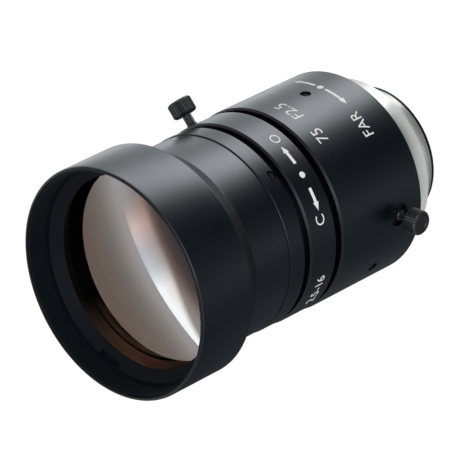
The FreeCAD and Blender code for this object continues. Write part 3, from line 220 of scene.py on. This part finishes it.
# Painted tint: the darker the painted reflection, the bluer it is painted.
painted_reflection_tint = ramp(tree, painted_reflection, (
    (0.0, (0.66, 0.97, 1.24)), (0.1, (0.80, 0.98, 1.15)), (0.4, (0.95, 1.0, 1.05))))
# The camera sees even white paper; mirrors see the painted reflection and its painted light.
glow = tree.nodes.new("ShaderNodeEmission")
to_camera = ray.outputs["Is Camera Ray"]
colour = blend(tree, to_camera, painted_reflection_tint, (1.0, 1.0, 1.0))
strength = blend(tree, to_camera, painted_reflection, PAPER_WHITE, kind="FLOAT")
tree.links.new(colour, glow.inputs["Color"])
tree.links.new(strength, glow.inputs["Strength"])
seen = worked_out(tree, "MAXIMUM", to_camera, ray.outputs["Is Glossy Ray"])
mixed = tree.nodes.new("ShaderNodeMixShader")
tree.links.new(worked_out(tree, "MULTIPLY", seen, PAPER_GLOW), mixed.inputs["Fac"])
tree.links.new(matt.outputs["BSDF"], mixed.inputs[1])
tree.links.new(glow.outputs["Emission"], mixed.inputs[2])
tree.links.new(mixed.outputs["Shader"], tree.nodes["Material Output"].inputs["Surface"])
floor_data.materials.append(paper)


# Mount ring: turned brass, nickel plated, with the flange that seats on the camera
# and the 1 inch thread behind it, 32 turns to the inch, cut with a single point tool.
def turned_grain():
    """Node group: fine rings left by the lathe, an even grain, and slow patches of handling."""
    group = bpy.data.node_groups.new("turned_grain", "ShaderNodeTree")
    for name, value in (("Rings", 9000.0), ("Grain", 14000.0)):
        socket = group.interface.new_socket(name, in_out="INPUT", socket_type="NodeSocketFloat")
        socket.default_value = value
    for name in ("Ring Lines", "Fine Grain", "Patches"):
        group.interface.new_socket(name, in_out="OUTPUT", socket_type="NodeSocketFloat")
    given = group.nodes.new("NodeGroupInput")
    result = group.nodes.new("NodeGroupOutput")
    place = group.nodes.new("ShaderNodeTexCoord")
    parts = group.nodes.new("ShaderNodeSeparateXYZ")
    flat = group.nodes.new("ShaderNodeCombineXYZ")
    reach = group.nodes.new("ShaderNodeVectorMath")
    reach.operation = "LENGTH"
    section = group.nodes.new("ShaderNodeCombineXYZ")
    lines = group.nodes.new("ShaderNodeTexNoise")
    lines.inputs["Detail"].default_value = 2.0
    grain = group.nodes.new("ShaderNodeTexNoise")
    grain.inputs["Detail"].default_value = 1.0
    patches = group.nodes.new("ShaderNodeTexNoise")
    patches.inputs["Scale"].default_value = 70.0
    patches.inputs["Detail"].default_value = 3.0
    link = group.links.new
    link(place.outputs["Object"], parts.inputs["Vector"])
    link(parts.outputs["X"], flat.inputs["X"])
    link(parts.outputs["Y"], flat.inputs["Y"])
    link(flat.outputs["Vector"], reach.inputs[0])
    link(reach.outputs["Value"], section.inputs["X"])
    link(parts.outputs["Z"], section.inputs["Z"])
    link(section.outputs["Vector"], lines.inputs["Vector"])
    link(given.outputs["Rings"], lines.inputs["Scale"])
    link(place.outputs["Object"], grain.inputs["Vector"])
    link(given.outputs["Grain"], grain.inputs["Scale"])
    link(place.outputs["Object"], patches.inputs["Vector"])
    link(lines.outputs["Fac"], result.inputs["Ring Lines"])
    link(grain.outputs["Fac"], result.inputs["Fine Grain"])
    link(patches.outputs["Fac"], result.inputs["Patches"])
    return group


grain_group = turned_grain()


def turned_finish(name, dark, light, smooth, rough, line_depth, grain_depth, metallic=0.0,
                  specular=0.5, rings=9000.0):
    """A finish for turned parts: ring lines vary its colour, patches its roughness, both its bump."""
    finish = bpy.data.materials.new(name)
    finish.use_nodes = True
    tree = finish.node_tree
    shader = tree.nodes["Principled BSDF"]
    shader.inputs["Metallic"].default_value = metallic
    shader.inputs["Specular IOR Level"].default_value = specular
    marks = tree.nodes.new("ShaderNodeGroup")
    marks.node_tree = grain_group
    marks.inputs["Rings"].default_value = rings
    lines = tree.nodes.new("ShaderNodeBump")
    lines.inputs["Distance"].default_value = line_depth * MM
    grain = tree.nodes.new("ShaderNodeBump")
    grain.inputs["Distance"].default_value = grain_depth * MM
    gloss = spread(tree, marks.outputs["Patches"], low=0.3, high=0.7, to_low=smooth, to_high=rough)
    link = tree.links.new
    link(blend(tree, marks.outputs["Ring Lines"], dark, light), shader.inputs["Base Color"])
    link(gloss, shader.inputs["Roughness"])
    link(marks.outputs["Ring Lines"], lines.inputs["Height"])
    link(marks.outputs["Fine Grain"], grain.inputs["Height"])
    link(lines.outputs["Normal"], grain.inputs["Normal"])
    link(grain.outputs["Normal"], shader.inputs["Normal"])
    return finish


def turn_profile(shape, profile, steps=256, closed=True):
    """Spin an outline of radii and heights, in millimetres, round the lens axis."""
    corners = [shape.verts.new(Vector((radius, 0, height)) * MM) for radius, height in profile]
    following = corners[1:] + corners[:1] if closed else corners[1:]
    edges = [shape.edges.new(pair) for pair in zip(corners, following)]
    bmesh.ops.spin(shape, geom=corners + edges, axis=(0, 0, 1), angle=math.tau, steps=steps,
                   use_merge=True)
    bmesh.ops.remove_doubles(shape, verts=shape.verts, dist=1e-8)


def ease_corners(shape, width, least=25.0):
    """Break every corner sharper than the least angle with a small round, in millimetres."""
    corners = [edge for edge in shape.edges
               if len(edge.link_faces) == 2 and edge.calc_face_angle(0) > math.radians(least)]
    bmesh.ops.bevel(shape, geom=corners, offset=width * MM, offset_type="OFFSET", segments=2,
                    profile=0.5, affect="EDGES", material=-1, clamp_overlap=True)


def cut_thread(shape, root, crest, bottom, top, pitch, steps=96):
    """One closed ridge wound from bottom to top, standing on a wall of the root radius."""
    turns = (top - bottom) / pitch
    sunk = root - 0.05 if crest > root else root + 0.05
    ridge = ((sunk, -0.45), (crest, -0.06), (crest, 0.06), (sunk, 0.45))
    corners = [shape.verts.new(Vector((radius, 0, bottom + share * pitch)) * MM) for radius, share in ridge]
    edges = [shape.edges.new(pair) for pair in zip(corners, corners[1:] + corners[:1])]
    count = round(turns * steps)
    made = bmesh.ops.spin(shape, geom=corners + edges, axis=(0, 0, 1), angle=math.tau * turns,
                          steps=count, dvec=Vector((0, 0, (top - bottom) / count)) * MM)
    for loop in (edges, [item for item in made["geom_last"] if isinstance(item, bmesh.types.BMEdge)]):
        bmesh.ops.contextual_create(shape, geom=loop)


def finish_piece(shape, name, finish, body, replaced=(), smooth_angle=18.0):
    """Turn the faces of a mesh outwards, shade it and hang it on its body."""
    bmesh.ops.recalc_face_normals(shape, faces=shape.faces)
    mesh = bpy.data.meshes.new(name)
    shape.to_mesh(mesh)
    shape.free()
    mesh.shade_smooth()
    mesh.set_sharp_from_angle(angle=math.radians(smooth_angle))
    mesh.materials.append(finish)
    piece = bpy.data.objects.new(name, mesh)
    bpy.context.scene.collection.objects.link(piece)
    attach(piece, body)
    if replaced:
        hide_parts(*replaced)
    return piece


MOUNT_REAR = -4.4
MOUNT_FRONT = 5.65
FLANGE_RADIUS = 15.5
FLANGE_CHAMFER = 0.25
THREAD_ROOT = 12.3
THREAD_CREST = 12.7
THREAD_PITCH = 0.794
THREAD_UNDERCUT = 12.0
SLEEVE_BORE = 14.45
SLEEVE_SEAT = 1.5
LIGHT_BORE = 10.7
BAFFLE_BORE = 11.45
BAFFLE_SEAT = -1.3
nickel = turned_finish("nickel_plate", dark=(0.62, 0.61, 0.57), light=(0.80, 0.79, 0.73), smooth=0.16,
                       rough=0.3, line_depth=0.012, grain_depth=0.002, metallic=1.0, rings=6000.0)
mount = bmesh.new()
turn_profile(mount, (
    (BAFFLE_BORE, MOUNT_REAR), (THREAD_ROOT, MOUNT_REAR), (THREAD_ROOT, -0.35), (THREAD_UNDERCUT, -0.3),
    (THREAD_UNDERCUT, 0.0), (FLANGE_RADIUS - FLANGE_CHAMFER, 0.0), (FLANGE_RADIUS, FLANGE_CHAMFER),
    (FLANGE_RADIUS, MOUNT_FRONT - FLANGE_CHAMFER), (FLANGE_RADIUS - FLANGE_CHAMFER, MOUNT_FRONT),
    (SLEEVE_BORE, MOUNT_FRONT), (SLEEVE_BORE, SLEEVE_SEAT), (LIGHT_BORE, SLEEVE_SEAT),
    (LIGHT_BORE, BAFFLE_SEAT), (BAFFLE_BORE, BAFFLE_SEAT)))
ease_corners(mount, width=0.05)
cut_thread(mount, THREAD_ROOT, THREAD_CREST, bottom=-3.7, top=-0.45, pitch=THREAD_PITCH)
finish_piece(mount, "mount_with_thread", nickel, "mount", ["mount_ring"])


# Rear baffle ring: black anodised aluminium, screwed into the mount from behind
# with a spanner in its two slots. The lens stands on its flat face.
def dress(nodes, finish):
    """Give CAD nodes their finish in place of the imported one."""
    for name in nodes:
        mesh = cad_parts[name].data
        mesh.materials.clear()
        mesh.materials.append(finish)


matte_black = turned_finish("matte_black_anodised", dark=(0.0030, 0.0034, 0.0044),
                            light=(0.0060, 0.0066, 0.0080), smooth=0.45, rough=0.6,
                            line_depth=0.012, grain_depth=0.006, specular=0.14)
dress(["rear_baffle_ring"], matte_black)


# Fixed sleeve: black anodised tube screwed into the mount; the focus ring turns on its drum.
# A brass key, held by two small screws, keeps the moving barrel from turning.
def paint_shade_on_front_faces(finish, share):
    """Paint shade on end faces and chamfers that look to the front: a near-black metallic sheen there takes
    their highlights off.
    """
    tree = finish.node_tree
    place = tree.nodes.new("ShaderNodeTexCoord")
    parts = tree.nodes.new("ShaderNodeSeparateXYZ")
    tree.links.new(place.outputs["Normal"], parts.inputs["Vector"])
    # Painted shade: faces that look to the front turn metallic on near-black and lose their highlights.
    ends = spread(tree, parts.outputs["Z"], low=0.4, high=0.6, to_high=share)
    tree.links.new(ends, tree.nodes["Principled BSDF"].inputs["Metallic"])


satin_black = turned_finish("satin_black_anodised", dark=(0.0005, 0.0018, 0.0036),
                            light=(0.0012, 0.0034, 0.0062), smooth=0.25, rough=0.34,
                            line_depth=0.006, grain_depth=0.004)
# Painted shade on the front-facing ends and chamfers of the satin black parts.
paint_shade_on_front_faces(satin_black, share=0.62)
brass = turned_finish("turned_brass", dark=(0.60, 0.43, 0.17), light=(0.78, 0.60, 0.28), smooth=0.25,
                      rough=0.4, line_depth=0.01, grain_depth=0.002, metallic=1.0)
black_steel = turned_finish("black_oxide_steel", dark=(0.005, 0.006, 0.008), light=(0.011, 0.012, 0.015),
                            smooth=0.26, rough=0.4, line_depth=0.006, grain_depth=0.003, specular=0.4)
dress(["fixed_sleeve"], matte_black)
dress(["guide_key"], brass)
dress(["guide_key_screws"], black_steel)

# Focus ring: satin black anodised grip over a brass helicoid nut; three grub screws join them.
# Its white marks are engraved and filled: FAR and NEAR with arrows and a dot, and the lens's
# figures. Their sizes are in millimetres, their bearings in degrees round the axis.
dress(["focus_ring"], satin_black)
dress(["helicoid_nut"], brass)
dress(["focus_grub_screws"], black_steel)
PAINT = 0.04
CAPITAL_SHARE = 0.69
STROKE_TRIM = -0.012
BEND_STEP = 0.3
white_fill = bpy.data.materials.new("white_fill")
white_fill.use_nodes = True
tree = white_fill.node_tree
place = tree.nodes.new("ShaderNodeTexCoord")
specks = tree.nodes.new("ShaderNodeTexNoise")
specks.inputs["Scale"].default_value = 4000.0
tree.links.new(place.outputs["Object"], specks.inputs["Vector"])
speckle = specks.outputs["Fac"]
paint = tree.nodes["Principled BSDF"]
tone = blend(tree, speckle, (0.60, 0.60, 0.60), (0.86, 0.86, 0.85))
gloss = spread(tree, speckle, low=0.0, high=1.0, to_low=0.45, to_high=0.65)
tree.links.new(tone, paint.inputs["Base Color"])
tree.links.new(gloss, paint.inputs["Roughness"])


def lettering(words, height):
    """Flat raised words as a mesh, centred, with capitals of the given height."""
    letters = bpy.data.curves.new("lettering", "FONT")
    letters.body = words
    letters.size = height / CAPITAL_SHARE
    letters.align_x = "CENTER"
    letters.align_y = "CENTER"
    letters.extrude = PAINT / 2
    letters.offset = STROKE_TRIM
    letters.resolution_u = 4
    stand_in = bpy.data.objects.new("lettering", letters)
    bpy.context.scene.collection.objects.link(stand_in)
    mesh = bpy.data.meshes.new_from_object(stand_in)
    shape = bmesh.new()
    shape.from_mesh(mesh)
    bpy.data.objects.remove(stand_in)
    bpy.data.curves.remove(letters)
    bpy.data.meshes.remove(mesh)
    bmesh.ops.remove_doubles(shape, verts=shape.verts, dist=1e-4)
    return shape


def raised(shape):
    """Give a flat mark the thickness of its paint."""
    made = bmesh.ops.extrude_face_region(shape, geom=shape.faces[:], use_keep_orig=True)
    lifted = [item for item in made["geom"] if isinstance(item, bmesh.types.BMVert)]
    bmesh.ops.translate(shape, verts=lifted, vec=(0, 0, PAINT))
    return shape


def arrow(length, bar, head, turns=0.0):
    """Flat raised arrow from the origin along +X, or turned from there by some turns."""
    shape = bmesh.new()
    half, wing = bar / 2, head / 2
    neck = length - head * 1.25
    outline = ((0, -half), (neck, -half), (neck, -wing), (length, 0), (neck, wing), (neck, half), (0, half))
    shape.faces.new([shape.verts.new((x, y, -PAINT / 2)) for x, y in outline])
    bmesh.ops.rotate(shape, verts=shape.verts, matrix=Matrix.Rotation(math.tau * turns, 3, "Z"))
    return raised(shape)


def dot(radius):
    """Flat raised dot."""
    shape = bmesh.new()
    made = bmesh.ops.create_circle(shape, cap_ends=True, segments=32, radius=radius)
    bmesh.ops.translate(shape, verts=made["verts"], vec=(0, 0, -PAINT / 2))
    return raised(shape)


def wrap_mark(shape, name, radius, height, bearing, body):
    """Bend a flat mark round a ring and fix it there."""
    low = min(vert.co.x for vert in shape.verts)
    high = max(vert.co.x for vert in shape.verts)
    cut = low + BEND_STEP
    while cut < high:
        bmesh.ops.bisect_plane(shape, geom=shape.verts[:] + shape.edges[:] + shape.faces[:],
                               plane_co=(cut, 0, 0), plane_no=(1, 0, 0), dist=1e-5)
        cut += BEND_STEP
    for vert in shape.verts:
        angle = math.radians(bearing) + vert.co.x / radius
        reach = radius + vert.co.z
        vert.co = Vector((reach * math.cos(angle), reach * math.sin(angle), height + vert.co.y)) * MM
    finish_piece(shape, name, white_fill, body, smooth_angle=30.0)


FOCUS_GRIP_RADIUS = 18.7
for shape, name, height, bearing in (
        (dot(0.6), "focus_index_dot", 11.9, -45.6),
        (arrow(5.2, bar=0.55, head=1.2, turns=0.5), "focus_far_arrow", 11.9, -49.2),
        (arrow(5.2, bar=0.55, head=1.2), "focus_near_arrow", 11.9, -42.0),
        (lettering("FAR", 2.15), "focus_far_word", 12.6, -79.6),
        (lettering("NEAR", 2.15), "focus_near_word", 12.6, -9.3),
        (lettering("75", 2.3), "focus_length_figures", 22.1, -75.0),
        (lettering("F2.5", 2.3), "focus_stop_figures", 22.1, -52.0)):
    wrap_mark(shape, name, FOCUS_GRIP_RADIUS, height, bearing, "focus_grip")


# Lock screws: thumbscrews of black steel with straight knurled heads, one along a radius of each
# ring. Tightened, their tips press on the part inside and hold the focus or the iris.
def thumbscrew(name, tip, surface, height, bearing, body):
    """A knurled thumbscrew turned along its own axis, then laid along a radius of its ring."""
    stem, waist, knurl, dimple = 0.95, 0.82, 2.22, 1.15
    teeth, groove = 30, 0.925
    base = surface + 2.35
    top = base + 2.8
    shape = bmesh.new()
    turn_profile(shape, (
        (0, tip), (0.7, tip), (stem, tip + 0.25), (stem, surface + 0.35), (waist, surface + 0.5),
        (waist, base - 0.1), (1.0, base), (knurl - 0.3, base), (knurl, base + 0.28), (knurl, top - 0.28),
        (knurl - 0.3, top), (dimple + 0.1, top), (dimple, top - 0.12), (0, top - 0.12)),
        steps=2 * teeth, closed=False)
    for vert in shape.verts:
        if vert.co.xy.length > (knurl - 0.01) * MM:
            place = round(math.atan2(vert.co.y, vert.co.x) / math.pi * teeth)
            if place % 2:
                vert.co.xy *= groove
    outwards = Matrix.Rotation(math.radians(bearing), 4, "Z") @ Matrix.Rotation(math.pi / 2, 4, "Y")
    lifted = Matrix.Translation((0, 0, height * MM))
    bmesh.ops.transform(shape, matrix=lifted @ outwards, verts=shape.verts)
    finish_piece(shape, name + "_knurled", black_steel, body, [name], smooth_angle=22.0)


thumbscrew("focus_lock_screw", tip=17.0, surface=18.7, height=11.7, bearing=-134.3, body="focus_lock")
thumbscrew("iris_lock_screw", tip=16.25, surface=18.5, height=30.41, bearing=-1.5, body="iris_lock")

# Main barrel: black anodised tube that the focus ring screws forwards. It holds the iris:
# eight blued steel leaves between a plate of pivot holes and a ring of curved slots.
blued = turned_finish("blued_steel_leaf", dark=(0.020, 0.022, 0.030), light=(0.035, 0.038, 0.050),
                      smooth=0.3, rough=0.42, line_depth=0.002, grain_depth=0.002, metallic=0.6)
dress(["main_barrel"], satin_black)
dress(["iris_base_plate", "iris_cam_ring", "iris_retaining_ring", "doublet_retaining_ring"], matte_black)
dress([f"iris_blade_{number}" for number in range(1, 9)], blued)

# Iris ring: satin black anodised grip with a screw that reaches in to the cam ring.
# Its marks say which way opens and which way closes the iris.
dress(["iris_ring"], satin_black)
dress(["iris_drive_screw"], black_steel)
IRIS_GRIP_RADIUS = 18.5
for shape, name, height, bearing in (
        (dot(0.58), "iris_index_dot", 30.7, -90.0),
        (arrow(3.95, bar=0.62, head=1.2), "iris_open_arrow", 30.6, -83.0),
        (arrow(4.1, bar=0.62, head=1.2, turns=0.5), "iris_close_arrow", 30.7, -98.0),
        (lettering("O", 1.9), "iris_open_letter", 30.1, -65.0),
        (lettering("C", 2.0), "iris_close_letter", 30.8, -115.9),
        (lettering("2.5-16", 1.9), "iris_figures", 30.8, -160.0)):
    wrap_mark(shape, name, IRIS_GRIP_RADIUS, height, bearing, "iris_grip")

# Collar: black anodised ring that keeps the iris ring on the barrel.
# Three slotted set screws bite on the barrel through it.
dress(["collar_ring"], satin_black)
dress(["collar_set_screws"], black_steel)

# Front barrel: neck, cone and hood turned from one bar and anodised satin black.
# A fine filter thread is cut inside the mouth, and the front glass drops in behind it.
BARREL_FIT = 16.25
NECK_REAR = 39.1
NECK_RADIUS = 18.15
CONE_REAR = 47.4
CONE_FRONT = 51.6
HOOD_RADIUS = 21.0
FILTER_THREAD_ROOT = 20.24
FILTER_THREAD_CREST = 20.0
RETAINER_BORE = 19.7
GLASS_BORE = 18.05
SPACER_BORE = 15.95
FRONT_LIGHT_BORE = 14.6
MOUTH_REAR = 59.3
RETAINER_SEAT = 57.56
GLASS_SEAT = 52.3
SPACER_SEAT = 44.9
BARREL_SEAT = 44.0
rolled_rim = [(20.97, 63.22), (20.88, 63.39), (20.75, 63.51), (20.6, 63.58), (20.44, 63.6)]
front = bmesh.new()
turn_profile(front, [
    (BARREL_FIT, NECK_REAR), (NECK_RADIUS - 0.15, NECK_REAR), (NECK_RADIUS, NECK_REAR + 0.15),
    (NECK_RADIUS, CONE_REAR), (HOOD_RADIUS, CONE_FRONT), (HOOD_RADIUS, 63.05)] + rolled_rim + [
    (FILTER_THREAD_ROOT, 63.3), (FILTER_THREAD_ROOT, 59.4), (19.9, MOUTH_REAR),
    (RETAINER_BORE, MOUTH_REAR), (RETAINER_BORE, RETAINER_SEAT), (GLASS_BORE, RETAINER_SEAT),
    (GLASS_BORE, GLASS_SEAT), (SPACER_BORE, GLASS_SEAT), (SPACER_BORE, SPACER_SEAT),
    (FRONT_LIGHT_BORE, SPACER_SEAT), (FRONT_LIGHT_BORE, BARREL_SEAT), (BARREL_FIT, BARREL_SEAT)])
ease_corners(front, width=0.06)
cut_thread(front, FILTER_THREAD_ROOT, FILTER_THREAD_CREST, bottom=59.5, top=63.2, pitch=0.5)
MOUTH, CONE = 1, 2
for face in front.faces:
    middle = face.calc_center_median()
    if middle.z > 57.2 * MM and middle.xy.length < 20.42 * MM:
        face.material_index = MOUTH
    elif 47.6 * MM < middle.z < 51.5 * MM and middle.xy.length > 18.2 * MM:
        face.material_index = CONE
hood_black = turned_finish("hood_black", dark=(0.0026, 0.0038, 0.0056), light=(0.0056, 0.0074, 0.0102),
                           smooth=0.42, rough=0.55, line_depth=0.010, grain_depth=0.004, specular=0.05)
barrel = finish_piece(front, "front_barrel_with_filter_thread", satin_black, "barrel",
                      ["front_barrel"])
barrel.data.materials.append(hood_black)
barrel.data.materials.append(matte_black)

# Front retaining ring: matte black threaded ring with a conical mouth and two wide spanner slots.
# It presses the front glass on its seat.
dress(["front_retaining_ring"], hood_black)


# Front glass: polished and coated on its front face, with its edge lacquered black and a warm glow
# painted on that lacquer over about a quarter of the turn. The coating mirrors warm grey at low
# angles, then a bright band, and next to nothing where it is met squarely.
def coated_glass(name, share, stops, gloss=0.1):
    """Glass whose coating is a part mirror, coloured by the angle at which it is seen."""
    glass = bpy.data.materials.new(name)
    glass.use_nodes = True
    tree = glass.node_tree
    shader = tree.nodes["Principled BSDF"]
    shader.inputs["Roughness"].default_value = 0.0
    shader.inputs["IOR"].default_value = 1.5
    shader.inputs["Specular IOR Level"].default_value = gloss
    shader.inputs["Transmission Weight"].default_value = 1.0
    shader.inputs["Metallic"].default_value = share
    angle = tree.nodes.new("ShaderNodeLayerWeight")
    tree.links.new(ramp(tree, angle.outputs["Facing"], stops), shader.inputs["Base Color"])
    return glass


def paint_warm_glow(finish, warm):
    """Paint a warm glow, painted light, into a dark finish over about a quarter of the turn."""
    tree = finish.node_tree
    colour = tree.nodes["Principled BSDF"].inputs["Base Color"]
    # Painted light: the base colour turns warm over one part of the turn round the axis.
    painted_glow_share = ramp(tree, bearing_round_axis(tree), (
        (0.5, 0.0), (0.73, 0.0), (0.81, 0.7), (0.87, 1.0), (0.93, 0.6), (0.99, 0.15), (1.0, 0.0)))
    tree.links.new(blend(tree, painted_glow_share, colour.links[0].from_socket, warm), colour)


def dome(crown, curve, rim, count):
    """Points of a spherical face from the axis to its rim, bulging towards +Z, in millimetres."""
    steps = [rim * number / count for number in range(count + 1)]
    return [(radius, crown - curve + math.sqrt(curve * curve - radius * radius)) for radius in steps]


GLASS_RADIUS = 18.0
GLASS_BACK_RADIUS = 16.4
GLASS_REAR = 52.33
EDGE_FRONT = 57.0
front_coating = coated_glass("front_coating", share=0.25, stops=(
    (0.0, (0.06, 0.08, 0.15)), (0.17, (0.06, 0.06, 0.09)), (0.21, (0.015, 0.015, 0.02)),
    (0.255, (0.005, 0.006, 0.010)), (0.268, (0.10, 0.04, 0.02)), (0.278, (0.32, 0.20, 0.14)),
    (0.29, (0.66, 0.53, 0.46)), (0.305, (0.86, 0.78, 0.73)), (0.32, (1.0, 0.98, 0.97)),
    (0.34, (0.97, 0.93, 0.90)), (0.36, (0.69, 0.61, 0.56)), (0.38, (0.46, 0.38, 0.32)),
    (0.40, (0.36, 0.27, 0.21)), (0.44, (0.29, 0.16, 0.10)), (0.465, (0.26, 0.12, 0.07)),
    (0.485, (0.46, 0.29, 0.20)), (0.55, (0.36, 0.24, 0.18)), (0.75, (0.30, 0.24, 0.22)),
    (1.0, (0.8, 0.8, 0.8))))
back_coating = coated_glass("back_coating", share=0.004, stops=(
    (0.0, (0.8, 0.85, 0.95)), (0.5, (0.95, 0.86, 0.84))), gloss=0.03)
edge_lacquer_painted_glow = turned_finish("edge_lacquer_painted_glow", dark=(0.004, 0.006, 0.010), light=(0.010, 0.012, 0.018),
                             smooth=0.4, rough=0.5, line_depth=0.004, grain_depth=0.002, specular=0.1)
# Painted light: a warm glow on the edge lacquer over about a quarter of the turn.
paint_warm_glow(edge_lacquer_painted_glow, warm=(0.95, 0.72, 0.56))
front_face = dome(59.28, curve=90.0, rim=GLASS_RADIUS, count=24)
back_face = dome(53.05, curve=180.0, rim=GLASS_BACK_RADIUS, count=16)
glass = bmesh.new()
turn_profile(glass, front_face + [(GLASS_RADIUS, GLASS_REAR)] + back_face[::-1], closed=False)
BACK, EDGE = 1, 2
for face in glass.faces:
    middle = face.calc_center_median()
    if middle.z < EDGE_FRONT * MM:
        face.material_index = BACK if middle.xy.length < GLASS_BACK_RADIUS * MM else EDGE
lens = finish_piece(glass, "front_element_polished", front_coating, "barrel",
                    ["front_element"])
lens.data.materials.append(back_coating)
lens.data.materials.append(edge_lacquer_painted_glow)

# Inner glass: a meniscus, a cemented pair on each side of the iris, and the rear glass.
# A blackened brass spacer ring keeps the meniscus off the front glass.
spacer_brass_painted_glow = turned_finish("blackened_brass_painted_glow", dark=(0.010, 0.010, 0.012), light=(0.020, 0.018, 0.020),
                             smooth=0.4, rough=0.5, line_depth=0.01, grain_depth=0.004, specular=0.1)
# Painted light: a warm glow on the spacer over about a quarter of the turn.
paint_warm_glow(spacer_brass_painted_glow, warm=(0.95, 0.74, 0.58))
dress(["front_spacer"], spacer_brass_painted_glow)
inner_coating = coated_glass("inner_coating", share=0.004, stops=(
    (0.0, (0.88, 0.92, 0.97)), (0.4, (0.96, 0.90, 0.87)), (1.0, (0.9, 0.9, 0.9))), gloss=0.03)
dress(["second_element", "third_element", "fourth_element", "fifth_element", "sixth_element",
       "rear_element"], inner_coating)

# Rear cell: black anodised tube that hangs behind the iris with the rear glass.
# Slotted rings hold its elements.
dress(["rear_cell"], satin_black)
dress(["inner_retaining_ring", "rear_retaining_ring"], matte_black)
